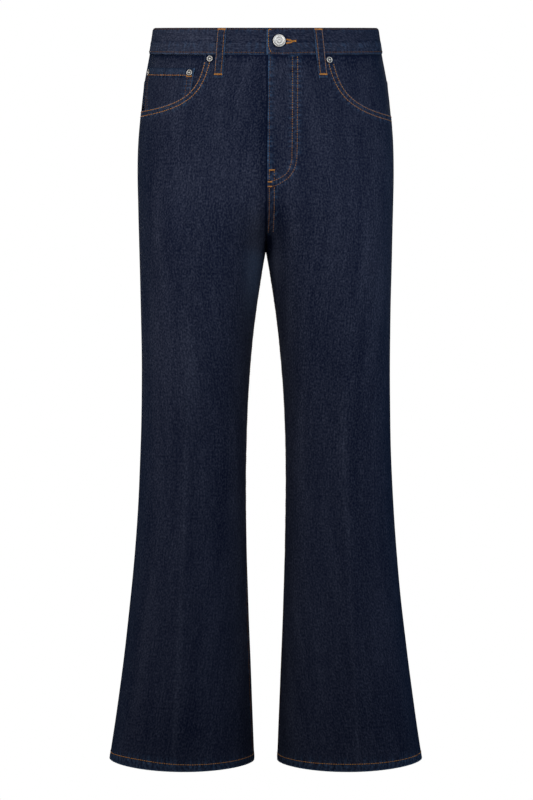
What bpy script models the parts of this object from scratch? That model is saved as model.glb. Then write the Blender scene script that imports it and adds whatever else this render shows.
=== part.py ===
"""Flared five-pocket jeans, hollow and filled out as if worn, as the pieces that are cut and joined.

Metres, +Z up, front towards -Y, the wearer's left towards +X. The origin is the middle of the waist,
level with the top of the waistband at the side seams. Every piece follows one skin, which is given by
an angle round each side of the body and a drop below the waist. Where a piece lies over or under
another it is that skin again, moved along its normal.
"""

import math

import bmesh
import bpy
import numpy as np
from mathutils import Vector

LEFT, RIGHT = 1, -1  # the wearer's sides, along X

# Colour, roughness and metallic value
DENIM = ((0.012, 0.019, 0.048), 0.85, 0.0)
METAL = ((0.55, 0.55, 0.54), 0.32, 1.0)

# Cloth
WALL = 0.0011  # one layer of denim
SEAM_GAP = 0.0003  # between pieces that meet
STACK_GAP = 0.0007  # between pieces that lie on each other, more than their facets stray from the skin
LAYER = WALL + STACK_GAP

# The whole garment
CROTCH = 0.302  # drops below the waist at the side seams
CROTCH_START = 0.175  # the seat starts to part into two legs
HEM = 0.984
HEM_INNER_DIP = 0.0027  # the hem is lower at the inseam than at the outseam
HEM_MIDDLE_DIP = 0.0036  # and lowest at the front and the back
WAIST_TILT = 0.1785  # rise from front to back, per metre of depth
TILT_END = 0.200  # the drop at which sections are level again

# Half widths and depths of the garment, and how square its sections are (2 is an ellipse)
SECTION_COLUMNS = ("drop", "outer", "front", "back", "squareness")
SECTIONS = (
    (0.000, 0.1515, 0.1000, 0.1050, 2.20),
    (0.035, 0.1567, 0.1020, 0.1100, 2.25),
    (0.075, 0.1638, 0.1042, 0.1180, 2.30),
    (0.115, 0.1683, 0.1055, 0.1262, 2.35),
    (0.155, 0.1716, 0.1062, 0.1320, 2.35),
    (0.195, 0.1726, 0.1060, 0.1352, 2.35),
    (0.240, 0.1719, 0.1045, 0.1335, 2.32),
    (0.302, 0.1702, 0.1000, 0.1230, 2.25),
    (0.380, 0.1684, 0.0915, 0.1030, 2.15),
    (0.475, 0.1676, 0.0800, 0.0855, 2.10),
    (0.565, 0.1689, 0.0700, 0.0720, 2.05),
    (0.655, 0.1731, 0.0665, 0.0680, 2.00),
    (0.745, 0.1800, 0.0695, 0.0700, 2.00),
    (0.835, 0.1898, 0.0750, 0.0750, 2.00),
    (0.915, 0.2003, 0.0805, 0.0800, 2.00),
    (0.984, 0.2108, 0.0855, 0.0850, 2.00),
)

# Half the gap between the legs
GAP_COLUMNS = ("drop", "half_gap")
GAPS = (
    (0.302, 0.0002),
    (0.330, 0.0053),
    (0.370, 0.0115),
    (0.420, 0.0176),
    (0.475, 0.0223),
    (0.550, 0.0260),
    (0.610, 0.0269),
    (0.690, 0.0259),
    (0.800, 0.0225),
    (0.900, 0.0186),
    (0.984, 0.0152),
)

# The closing edge of the fly and the seam below it lie a little to the wearer's left of the middle
FLY_COLUMNS = ("drop", "x")
FLY_EDGE = (
    (0.000, 0.0037),
    (0.035, 0.0035),
    (0.230, 0.0020),
    (0.262, 0.0018),
    (0.292, 0.0003),
    (0.302, 0.0000),
)

# Soft folds of the fronts, by their distance from the fly or the middle of the legs
FOLD_COLUMNS = ("side", "x_top", "x_bottom", "top", "bottom", "half_width", "height")
FOLDS = (
    (RIGHT, 0.0060, 0.0060, 0.030, 0.270, 0.021, -0.0030),
    (RIGHT, 0.0950, 0.1220, 0.330, 1.010, 0.016, 0.0014),
    (LEFT, 0.0950, 0.1220, 0.360, 1.010, 0.016, 0.0012),
)
CREASE_X = (0.0850, 0.1215)  # the pressed crease of each leg, at the waist and at the hem

# Waistband
BAND_HEIGHT = 0.0345
BAND_WALL = 0.0024  # two layers
BAND_LIFT = 0.0006  # it stands this much proud of the panels
BAND_END = 360.9  # degrees round from the front, where the outer end stops
BAND_START = -15.0  # and where the inner end starts, under the outer one
BAND_SINK = (1.5, 9.0)  # between these the inner end comes up from under the outer one

# Front pockets: reach from the side seam, depth below the waistband, squareness of the curve
MOUTHS = {RIGHT: (0.1305, 0.0780, 3.3), LEFT: (0.1225, 0.0845, 3.1)}
FACING_MARGIN = 0.016  # the facing runs on under the front panel
COIN_TOP = 0.0535  # drop of the coin pocket's upper edge
COIN_BOTTOM = 0.1300
COIN_EDGES = ((0.0200, 0.1188), (0.0420, 0.1210))  # distances from the side seam, above and below

# Fly shield, behind the closing edge
SHIELD_EDGES = (-0.006, 0.044)
SHIELD_END = 0.200
SHIELD_LIFT = -0.0045

# Back
YOKE_SIDE = 0.072  # drops of the yoke seam at the side and at the middle of the back
YOKE_MIDDLE = 0.104
BACK_POCKET_TOP = 0.130
BACK_POCKET_HEIGHT = 0.150
BACK_POCKET_POINT = 0.020
BACK_POCKET_MIDDLE = 0.088  # from the middle of the back
BACK_POCKET_HALF_WIDTHS = (0.0760, 0.0640)  # above and below

# Belt loops: degrees round from the front, of the upper and of the lower end
LOOPS = (
    ("belt_loop_front_right", 22.3, 22.7),
    ("belt_loop_side_right", 127.0, 127.6),
    ("belt_loop_back", 180.0, 180.0),
    ("belt_loop_side_left", 233.0, 232.4),
    ("belt_loop_front_left", 335.0, 334.1),
)
LOOP_WIDTH = 0.0120
LOOP_WALL = 0.0016
LOOP_COLUMNS = ("drop", "lift")
LOOP_RISE = (
    (0.000, 0.0009),
    (0.010, 0.0021),
    (0.021, 0.0024),
    (0.034, 0.0018),
    (0.050, 0.0008),
    (0.0665, 0.0003),
)

# Metal
RIVET_RADIUS = 0.0043
RIVET_HEIGHT = 0.0013
BUTTON_RADIUS = 0.0085
BUTTON_PLACE = (0.0175, 0.0168)  # distance from the middle, and drop
BUTTON_CAP = 0.0027
BUTTON_SHANK = 0.0022  # radius, in the outer end's buttonhole
BUTTON_POST = 0.0012  # radius, through the inner end
BUTTON_BACK = 0.0045  # radius of the tack behind the inner end
BUTTONHOLE = 0.0026  # radius
CUT_MARGIN = 0.003  # how far a cutter runs past the cloth

# Grids
FRONT_HALF = 9  # columns from an outseam to the crease, and from there to the fly or the inseam
BACK_HALF = 8
MOUTH_COLUMNS = 12  # of the front's columns, those that start on the pocket's edge
HIP_ROWS = 5
CROTCH_ROWS = 9
LEG_ROWS = 15
YOKE_ROWS = 3

MIDDLE_OF_LEG = 0.09  # an x that lies inside each leg and each side of the body


def column(names, rows, name):
    """One column of a table, with its drops."""
    drops = np.array([row[names.index("drop")] for row in rows])
    values = np.array([row[names.index(name)] for row in rows])
    return drops, values


def smooth_curve(drops, values):
    """A curve through the values, with the slope at each one taken from its neighbours."""
    slopes = np.gradient(values, drops)

    def value_at(drop):
        drop = min(max(drop, drops[0]), drops[-1] + 0.02)
        if drop > drops[-1]:
            return float(values[-1] + slopes[-1] * (drop - drops[-1]))
        i = int(np.clip(np.searchsorted(drops, drop) - 1, 0, len(drops) - 2))
        span = drops[i + 1] - drops[i]
        s = (drop - drops[i]) / span
        return float(
            (2 * s**3 - 3 * s**2 + 1) * values[i]
            + (s**3 - 2 * s**2 + s) * span * slopes[i]
            + (3 * s**2 - 2 * s**3) * values[i + 1]
            + (s**3 - s**2) * span * slopes[i + 1]
        )

    return value_at


outer_at = smooth_curve(*column(SECTION_COLUMNS, SECTIONS, "outer"))
front_at = smooth_curve(*column(SECTION_COLUMNS, SECTIONS, "front"))
back_at = smooth_curve(*column(SECTION_COLUMNS, SECTIONS, "back"))
squareness_at = smooth_curve(*column(SECTION_COLUMNS, SECTIONS, "squareness"))
half_gap_at = smooth_curve(*column(GAP_COLUMNS, GAPS, "half_gap"))
fly_x_at = smooth_curve(*column(FLY_COLUMNS, FLY_EDGE, "x"))
loop_lift_at = smooth_curve(*column(LOOP_COLUMNS, LOOP_RISE, "lift"))


def ease(s):
    """0 up to s = 0, 1 from s = 1, smooth between."""
    s = min(max(s, 0.0), 1.0)
    return s * s * (3 - 2 * s)


def round_corner(across, down, squareness):
    """The factor that brings a point of the unit circle out to the rounded square."""
    return (abs(across) ** squareness + abs(down) ** squareness) ** (-1 / squareness)


def section(side, drop, is_front):
    """One side's section at this drop: the plane it is cut at, its centre and half width from there."""
    outer = outer_at(drop)
    if drop >= CROTCH:
        half_gap = half_gap_at(drop)
        return 0.0, (outer + half_gap) / 2, (outer - half_gap) / 2
    middle = fly_x_at(drop) if is_front else 0.0
    outer -= side * middle
    length = CROTCH - CROTCH_START
    s = max(drop - CROTCH_START, 0.0) / length
    last_slope = 2 * (GAPS[1][1] - GAPS[0][1]) / (GAPS[1][0] - GAPS[0][0]) * length / outer
    parted = s * s * (3 - last_slope - (2 - last_slope) * s)  # 0 for one body, 1 for two legs
    half_width = outer / (1 + parted)
    return middle, outer - half_width, half_width


def bare_skin(side, angle, drop):
    """A point of the skin without folds. The angle is 0 at the outseam, positive in front."""
    middle, centre, half_width = section(side, drop, angle >= 0)
    depth = front_at(drop) if angle >= 0 else back_at(drop)
    across, forward = math.cos(angle), math.sin(angle)
    out = round_corner(across, forward, squareness_at(drop))
    x = middle + side * (centre + half_width * across * out)
    y = -depth * forward * out
    tilt = WAIST_TILT * (1 - ease((drop - BAND_HEIGHT) / (TILT_END - BAND_HEIGHT)))
    return Vector((x, y, tilt * y - drop))


def outward(side, angle, drop):
    """The skin's normal."""
    step = 1e-4
    round_body = bare_skin(side, angle + step, drop) - bare_skin(side, angle - step, drop)
    down = bare_skin(side, angle, drop + step) - bare_skin(side, angle, drop - step)
    return side * round_body.cross(down).normalized()


def fold_height(side, x, drop):
    """How far the folds move the front's skin out, at this distance from the middle."""
    height = 0.0
    for row in FOLDS:
        fold = dict(zip(FOLD_COLUMNS, row))
        along = (drop - fold["top"]) / (fold["bottom"] - fold["top"])
        if fold["side"] != side or not 0 < along < 1:
            continue
        x_here = fold["x_top"] + along * (fold["x_bottom"] - fold["x_top"])
        across = abs(x - x_here) / fold["half_width"]
        if across < 1:
            ends = ease(4 * along) * ease(4 * (1 - along))
            height += fold["height"] * ends * (1 - across**2) ** 2
    return height


def skin(side, angle, drop, lift=0.0):
    """A point this far outside the skin, folds included."""
    point = bare_skin(side, angle, drop)
    if angle > 0:
        middle = section(side, drop, True)[0]
        lift += fold_height(side, side * (point.x - middle), drop)
    return point + lift * outward(side, angle, drop)


def angle_for_x(side, drop, x, is_front=True):
    """The angle of the point this far from the plane where the two sides meet."""
    _, centre, half_width = section(side, drop, is_front)
    across = min(max((x - centre) / half_width, -1.0), 1.0)
    squareness = squareness_at(drop)
    forward = (1 - abs(across) ** squareness) ** (1 / squareness)
    return math.atan2(forward, across)


def seam_angle(drop, is_front):
    """Half a seam gap from the outseam, as an angle."""
    return SEAM_GAP / 2 / (front_at(drop) if is_front else back_at(drop))


def end_angle(side, drop, is_front):
    """The angle at which a panel meets its neighbour in the middle, or at the inseam."""
    inseam = math.pi - seam_angle(drop, is_front)
    if drop >= CROTCH:
        return inseam
    return min(angle_for_x(side, drop, SEAM_GAP / 2, is_front), inseam)


def angle_at(side, drop, distance, is_front=True, from_middle=False):
    """The angle this far along the skin from the outseam, or from the middle of the body."""
    sign = 1 if is_front else -1
    angles = np.linspace(0, end_angle(side, drop, is_front), 120)
    points = np.array([bare_skin(side, sign * angle, drop) for angle in angles])
    lengths = np.concatenate([[0], np.cumsum(np.linalg.norm(np.diff(points, axis=0), axis=1))])
    if from_middle:
        distance = lengths[-1] - distance
    return sign * float(np.interp(distance, lengths, angles))


def material(name, colour, roughness, metallic):
    made = bpy.data.materials.new(name)
    made.use_nodes = True
    shader = made.node_tree.nodes["Principled BSDF"]
    shader.inputs["Base Color"].default_value = (*colour, 1.0)
    shader.inputs["Roughness"].default_value = roughness
    shader.inputs["Metallic"].default_value = metallic
    return made


def collection(name):
    made = bpy.data.collections.new(name)
    bpy.context.scene.collection.children.link(made)
    return made


def cloth(name, columns, rows, place, wall, hollow_x):
    """A sheet whose point (column, row) is place(column, row), with its wall on the hollow side."""
    grid = bmesh.new()
    bmesh.ops.create_grid(grid, x_segments=columns, y_segments=rows, size=1.0)
    for vert in grid.verts:
        i = round((vert.co.x + 1) / 2 * columns)
        k = round((vert.co.y + 1) / 2 * rows)
        vert.co = place(i, k)
    grid.normal_update()
    facing_out = 0.0
    for face in grid.faces:
        centre = face.calc_center_median()
        facing_out += face.normal.dot(centre - Vector((hollow_x, 0.0, centre.z)))
    if facing_out < 0:
        bmesh.ops.reverse_faces(grid, faces=grid.faces)
    mesh = bpy.data.meshes.new(name)
    grid.to_mesh(mesh)
    grid.free()
    mesh.materials.append(material(name, *DENIM))
    mesh.shade_smooth()
    sheet = bpy.data.objects.new(name, mesh)
    garment.objects.link(sheet)
    thick = sheet.modifiers.new("Wall", "SOLIDIFY")
    thick.thickness = wall
    thick.offset = -1
    return sheet


def turned(name, profile, steps, place, axis):
    """A round piece: a profile of (radius, height) points from the top down, turned about an axis."""
    outline = bmesh.new()
    verts = [outline.verts.new((radius, 0.0, height)) for radius, height in profile]
    for start, end in zip(verts, verts[1:]):
        outline.edges.new((start, end))
    mesh = bpy.data.meshes.new(name)
    outline.to_mesh(mesh)
    outline.free()
    mesh.materials.append(material(name, *METAL))
    piece = bpy.data.objects.new(name, mesh)
    garment.objects.link(piece)
    piece.location = place
    piece.rotation_mode = "QUATERNION"
    piece.rotation_quaternion = axis.to_track_quat("Z", "Y")
    turn = piece.modifiers.new("Turn", "SCREW")
    turn.steps = turn.render_steps = steps
    turn.use_merge_vertices = True
    turn.merge_threshold = 1e-5
    turn.use_smooth_shade = True
    return piece


def body_levels():
    """Drops of the rows from the start of the crotch curve down to the crotch, closer below."""
    shares = [1 - (1 - k / CROTCH_ROWS) ** 2 for k in range(CROTCH_ROWS + 1)]
    return [CROTCH_START + share * (CROTCH - CROTCH_START) for share in shares]


def leg_levels():
    """Drops of the rows below the crotch, closer near it."""
    shares = [(k / LEG_ROWS) ** 1.3 for k in range(1, LEG_ROWS + 1)]
    return [CROTCH + share * (HEM - CROTCH) for share in shares]


def hem_drop(drop, angle):
    """A leg row's drop at this angle. Rows sag towards the hem's own curve."""
    sag = HEM_INNER_DIP * (1 - math.cos(angle)) / 2 + HEM_MIDDLE_DIP * math.sin(angle) ** 2
    return drop + sag * max(drop - CROTCH, 0.0) / (HEM - CROTCH)


def crease_angle(side, drop):
    """Where the pressed crease runs, and the middle column of each panel with it."""
    return angle_for_x(side, drop, CREASE_X[0] + (CREASE_X[1] - CREASE_X[0]) * drop / HEM)


def spread(start, middle, end, i, half):
    """The angle of column i of 2 * half, with one of the columns on the middle."""
    if i <= half:
        return start + (middle - start) * i / half
    return middle + (end - middle) * (i - half) / half


def mouth_edge(side, i):
    """Angle and drop where column i of a front panel starts: on the pocket's edge, or at the waistband."""
    reach, depth, squareness = MOUTHS[side]
    top = BAND_HEIGHT + SEAM_GAP
    if i > MOUTH_COLUMNS:
        start, end = angle_at(side, top, reach), end_angle(side, top, True)
        share = (i - MOUTH_COLUMNS) / (2 * FRONT_HALF - MOUTH_COLUMNS)
        return start + (end - start) * share, top
    turn = math.pi / 2 * (1 - i / MOUTH_COLUMNS)
    across, down = max(math.cos(turn), 0.0), math.sin(turn)
    out = round_corner(across, down, squareness)
    drop = top + depth * down * out
    angle = angle_at(side, drop, reach * across * out)
    return max(angle, seam_angle(drop, True)), drop


def front_angle(side, drop, i):
    start, end = seam_angle(drop, True), end_angle(side, drop, True)
    return spread(start, crease_angle(side, drop), end, i, FRONT_HALF)


def front_panel(name, side):
    """From the waistband to the hem, less the scoop of the pocket."""
    levels = body_levels() + leg_levels()

    def place(i, k):
        if k < HIP_ROWS:
            angle, drop = mouth_edge(side, i)
            angle += (front_angle(side, CROTCH_START, i) - angle) * k / HIP_ROWS
            drop += (CROTCH_START - drop) * k / HIP_ROWS
            return skin(side, angle, drop)
        drop = levels[k - HIP_ROWS]
        angle = front_angle(side, drop, i)
        return skin(side, angle, hem_drop(drop, angle))

    rows = HIP_ROWS + len(levels) - 1
    cloth(name, 2 * FRONT_HALF, rows, place, WALL, side * MIDDLE_OF_LEG)


def yoke_seam(angle):
    """Drop of the seam between the yoke and the back panel."""
    return YOKE_SIDE + (YOKE_MIDDLE - YOKE_SIDE) * min(abs(angle) / (math.pi / 2), 1.0)


def back_angle(side, drop, i):
    end = end_angle(side, drop, False)
    return -spread(seam_angle(drop, False), end / 2, end, i, BACK_HALF)


def yoke(name, side):
    def place(i, k):
        angle = back_angle(side, BAND_HEIGHT, i)
        top = BAND_HEIGHT + SEAM_GAP
        drop = top + (yoke_seam(angle) - SEAM_GAP / 2 - top) * k / YOKE_ROWS
        return skin(side, angle, drop)

    cloth(name, 2 * BACK_HALF, YOKE_ROWS, place, WALL, side * MIDDLE_OF_LEG)


def back_panel(name, side):
    """From the yoke to the hem."""
    levels = body_levels() + leg_levels()

    def place(i, k):
        if k < YOKE_ROWS:
            angle = back_angle(side, CROTCH_START, i)
            top = yoke_seam(angle) + SEAM_GAP / 2
            return skin(side, angle, top + (CROTCH_START - top) * k / YOKE_ROWS)
        drop = levels[k - YOKE_ROWS]
        angle = back_angle(side, drop, i)
        return skin(side, angle, hem_drop(drop, angle))

    rows = YOKE_ROWS + len(levels) - 1
    cloth(name, 2 * BACK_HALF, rows, place, WALL, side * MIDDLE_OF_LEG)


def pocket_facing(name, side, lift):
    """The denim that shows inside a front pocket's mouth."""
    reach, depth, _ = MOUTHS[side]
    columns, rows = 11, 6
    top = BAND_HEIGHT + SEAM_GAP

    def place(i, k):
        drop = top + (depth + FACING_MARGIN) * k / rows
        distance = SEAM_GAP + (reach + FACING_MARGIN - SEAM_GAP) * i / columns
        return skin(side, angle_at(side, drop, distance), drop, lift)

    cloth(name, columns, rows, place, WALL, side * MIDDLE_OF_LEG)


def coin_pocket(name, side, lift):
    """A small patch pocket on the facing, its lower end under the front panel."""
    columns, rows = 8, 5

    def place(i, k):
        down = k / rows
        drop = COIN_TOP + (COIN_BOTTOM - COIN_TOP) * down
        outer, inner = (a + (b - a) * down for a, b in zip(*COIN_EDGES))
        distance = outer + (inner - outer) * i / columns
        return skin(side, angle_at(side, drop, distance), drop, lift)

    cloth(name, columns, rows, place, WALL, side * MIDDLE_OF_LEG)


def back_pocket(name, side):
    """A plain five-sided patch pocket, on the back panel."""
    columns, rows = 10, 8

    def place(i, k):
        across, down = 2 * i / columns - 1, k / rows
        drop = BACK_POCKET_TOP + down * (BACK_POCKET_HEIGHT - BACK_POCKET_POINT * abs(across))
        top, bottom = BACK_POCKET_HALF_WIDTHS
        distance = BACK_POCKET_MIDDLE + across * (top + (bottom - top) * down)
        angle = angle_at(side, drop, distance, is_front=False, from_middle=True)
        return skin(side, angle, drop, LAYER)

    cloth(name, columns, rows, place, WALL, side * MIDDLE_OF_LEG)


def around(turn):
    """Side and angle at this many degrees round the waist, from the front by the wearer's right."""
    if turn < 0:
        return LEFT, math.radians(90 + turn)
    if turn < 180:
        return RIGHT, math.radians(90 - turn)
    return LEFT, math.radians(turn - 270)


def band_lift(turn):
    """The band's outer face: a layer lower where it passes under its other end."""
    low, level = BAND_SINK
    sunk = ease((level - turn) / (level - low))
    return BAND_LIFT - sunk * (BAND_WALL + SEAM_GAP)


def waistband():
    turns = np.linspace(BAND_START, BAND_SINK[1], 9).tolist()
    turns += np.linspace(BAND_SINK[1], BAND_END, 61).tolist()[1:]
    rows = 2

    def place(i, k):
        side, angle = around(turns[i])
        return skin(side, angle, BAND_HEIGHT * k / rows, band_lift(turns[i]))

    return cloth("waistband", len(turns) - 1, rows, place, BAND_WALL, 0.0)


def fly_shield():
    """The strip behind the closing edge of the fly."""
    columns, rows = 4, 8
    top = BAND_HEIGHT + SEAM_GAP

    def place(i, k):
        drop = top + (SHIELD_END - top) * k / rows
        x = SHIELD_EDGES[0] + (SHIELD_EDGES[1] - SHIELD_EDGES[0]) * i / columns
        angle = angle_for_x(LEFT, drop, x)
        return bare_skin(LEFT, angle, drop) + SHIELD_LIFT * outward(LEFT, angle, drop)

    cloth("fly_shield", columns, rows, place, WALL, 0.0)


def belt_loop(name, top_turn, low_turn):
    columns, rows = 2, 10
    length = LOOP_RISE[-1][0]

    def place(i, k):
        drop = length * k / rows
        turn = top_turn + (low_turn - top_turn) * k / rows
        degree = (skin(*around(turn + 0.5), drop) - skin(*around(turn - 0.5), drop)).length
        side, angle = around(turn + LOOP_WIDTH * (i / columns - 0.5) / degree)
        return skin(side, angle, drop, loop_lift_at(drop) + LOOP_WALL)

    cloth(name, columns, rows, place, LOOP_WALL, 0.0)


def rivet(name, side, distance, drop, lift):
    """A rivet's head: a domed middle in a rolled rim."""
    angle = angle_at(side, drop, distance)
    r, h = RIVET_RADIUS, RIVET_HEIGHT
    profile = (
        (0.0, h),
        (0.30 * r, 0.92 * h),
        (0.42 * r, 0.60 * h),
        (0.60 * r, 0.60 * h),
        (0.80 * r, 0.88 * h),
        (0.96 * r, 0.60 * h),
        (r, 0.20 * h),
        (0.94 * r, 0.0),
        (0.0, 0.0),
    )
    place = skin(side, angle, drop, lift + SEAM_GAP)
    turned(name, profile, 20, place, outward(side, angle, drop))


def hole(name, target, radius, place, axis, top, bottom):
    """Cuts a round hole through the target, between two heights along the axis."""
    bpy.ops.mesh.primitive_cylinder_add(
        vertices=20,
        radius=radius,
        depth=top - bottom,
        location=place + (top + bottom) / 2 * axis,
        rotation=axis.to_track_quat("Z", "Y").to_euler(),
    )
    cutter = bpy.context.object
    cutter.name = name
    for holder in list(cutter.users_collection):
        holder.objects.unlink(cutter)
    cutters.objects.link(cutter)
    cutter.hide_render = True
    cutter.display_type = "WIRE"
    cut = target.modifiers.new(name, "BOOLEAN")
    cut.operation = "DIFFERENCE"
    cut.solver = "EXACT"
    cut.object = cutter


def button(band):
    """A tack button: its shank is in the outer end's buttonhole, its post through the inner end."""
    x, drop = BUTTON_PLACE
    angle = angle_for_x(LEFT, drop, x - fly_x_at(drop))
    place, axis = bare_skin(LEFT, angle, drop), outward(LEFT, angle, drop)
    under_cap = BAND_LIFT + SEAM_GAP
    between = BAND_LIFT - BAND_WALL - SEAM_GAP / 2
    inner_face = BAND_LIFT - 2 * BAND_WALL - SEAM_GAP
    top = under_cap + BUTTON_CAP
    r = BUTTON_RADIUS
    profile = (
        (0.0, top - 0.0006),
        (0.50 * r, top - 0.0006),
        (0.58 * r, top - 0.0001),
        (0.84 * r, top),
        (0.96 * r, top - 0.0007),
        (r, under_cap + 0.0009),
        (0.95 * r, under_cap + 0.0001),
        (0.88 * r, under_cap),
        (BUTTON_SHANK, under_cap),
        (BUTTON_SHANK, between + SEAM_GAP / 2),
        (BUTTON_POST, between + SEAM_GAP / 2),
        (BUTTON_POST, inner_face - SEAM_GAP),
        (BUTTON_BACK, inner_face - SEAM_GAP),
        (BUTTON_BACK, inner_face - 0.0011),
        (0.8 * BUTTON_BACK, inner_face - 0.0014),
        (0.0, inner_face - 0.0014),
    )
    turned("button", profile, 32, place, axis)
    hole("buttonhole_cut", band, BUTTONHOLE, place, axis, under_cap + CUT_MARGIN, between)
    hole("post_cut", band, BUTTON_POST + SEAM_GAP, place, axis, between, inner_face - CUT_MARGIN)


for obj in list(bpy.data.objects):
    bpy.data.objects.remove(obj)

garment = collection("flared_jeans")
cutters = collection("cutters")

for side_name, wearer_side in (("left", LEFT), ("right", RIGHT)):
    front_panel("front_" + side_name, wearer_side)
    back_panel("back_" + side_name, wearer_side)
    yoke("yoke_" + side_name, wearer_side)
    back_pocket("back_pocket_" + side_name, wearer_side)
pocket_facing("pocket_facing_left", LEFT, -LAYER)
pocket_facing("pocket_facing_right", RIGHT, -2 * LAYER)
coin_pocket("coin_pocket", RIGHT, -LAYER)
fly_shield()
button(waistband())
for loop_name, loop_top, loop_low in LOOPS:
    belt_loop(loop_name, loop_top, loop_low)
rivet("rivet_pocket_right", RIGHT, 0.1378, 0.0400, 0.0)
rivet("rivet_pocket_left", LEFT, 0.1286, 0.0416, 0.0)
rivet("rivet_coin_inner", RIGHT, 0.1126, 0.0586, -LAYER)
rivet("rivet_coin_outer", RIGHT, 0.0260, 0.0593, -LAYER)
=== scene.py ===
import math

import bmesh
import bpy
import numpy as np
from mathutils import Matrix, Vector
from mathutils.bvhtree import BVHTree
from mathutils.kdtree import KDTree


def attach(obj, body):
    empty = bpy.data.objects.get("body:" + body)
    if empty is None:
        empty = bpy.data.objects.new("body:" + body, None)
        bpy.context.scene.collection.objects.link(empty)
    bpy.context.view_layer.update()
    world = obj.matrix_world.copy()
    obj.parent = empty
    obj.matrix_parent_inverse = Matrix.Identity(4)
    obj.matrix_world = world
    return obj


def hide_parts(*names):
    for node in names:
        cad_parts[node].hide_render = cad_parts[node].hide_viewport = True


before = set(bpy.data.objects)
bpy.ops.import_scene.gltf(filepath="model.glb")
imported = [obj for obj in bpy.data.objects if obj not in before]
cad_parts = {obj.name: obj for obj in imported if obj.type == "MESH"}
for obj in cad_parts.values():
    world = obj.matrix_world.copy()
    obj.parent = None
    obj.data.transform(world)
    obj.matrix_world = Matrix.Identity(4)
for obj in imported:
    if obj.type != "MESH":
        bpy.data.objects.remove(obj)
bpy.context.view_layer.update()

left, right = 1, -1  # the wearer's sides, along X

# The form that every piece follows. Drops are metres below the waist at the side seams
form = {
    "sections": (  # drop, outer, front, back, squareness (2 is an ellipse)
        (0.0, 0.1515, 0.1, 0.105, 2.2),
        (0.035, 0.1567, 0.102, 0.11, 2.25),
        (0.075, 0.1638, 0.1042, 0.118, 2.3),
        (0.115, 0.1683, 0.1055, 0.1262, 2.35),
        (0.155, 0.1716, 0.1062, 0.132, 2.35),
        (0.195, 0.1726, 0.106, 0.1352, 2.35),
        (0.24, 0.1719, 0.1045, 0.1335, 2.32),
        (0.302, 0.1702, 0.1, 0.123, 2.25),
        (0.38, 0.1684, 0.0915, 0.103, 2.15),
        (0.475, 0.1676, 0.08, 0.0855, 2.1),
        (0.565, 0.1689, 0.07, 0.072, 2.05),
        (0.655, 0.1731, 0.0665, 0.068, 2.0),
        (0.745, 0.18, 0.0695, 0.07, 2.0),
        (0.835, 0.1898, 0.075, 0.075, 2.0),
        (0.915, 0.2003, 0.0805, 0.08, 2.0),
        (0.984, 0.2108, 0.0855, 0.085, 2.0),
    ),
    "gaps": (  # drop, half the gap between the legs
        (0.302, 0.0002),
        (0.33, 0.0053),
        (0.37, 0.0115),
        (0.42, 0.0176),
        (0.475, 0.0223),
        (0.55, 0.026),
        (0.61, 0.0269),
        (0.69, 0.0259),
        (0.8, 0.0225),
        (0.9, 0.0186),
        (0.984, 0.0152),
    ),
    "flyEdge": (  # drop, x of the closing edge and of the seam below it
        (0.0, 0.0037),
        (0.035, 0.0035),
        (0.23, 0.002),
        (0.262, 0.0018),
        (0.292, 0.0003),
        (0.302, 0.0),
    ),
    "crotch": 0.302,
    "crotchStart": 0.175,
    "hem": 0.984,
    "hemInnerDip": 0.0027,
    "hemMiddleDip": 0.0036,
    "waistTilt": 0.1785,
    "tiltEnd": 0.2,
    "bandHeight": 0.0345,
    "pressedCrease": (0.085, 0.1215),  # x at the waist and at the hem
    "wall": 0.0011,
    "seamGap": 0.0003,
    "seamOpen": 0.00002,  # between panels that are drawn together by their sewing
    "layer": 0.0018,  # from one cloth to the next that lies on it
}

# Side, x at its top and bottom from the fly or the middle, drops of both, half width, height
frontFolds = (
    (right, 0.006, 0.006, 0.03, 0.27, 0.019, -0.0028),
    (right, 0.0035, 0.0035, 0.034, 0.262, 0.008, -0.0016),
    (left, 0.004, 0.0044, 0.278, 0.318, 0.0034, -0.0022),
    (right, 0.095, 0.122, 0.33, 1.01, 0.016, 0.0014),
    (left, 0.095, 0.122, 0.36, 1.01, 0.016, 0.0012),
)

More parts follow.
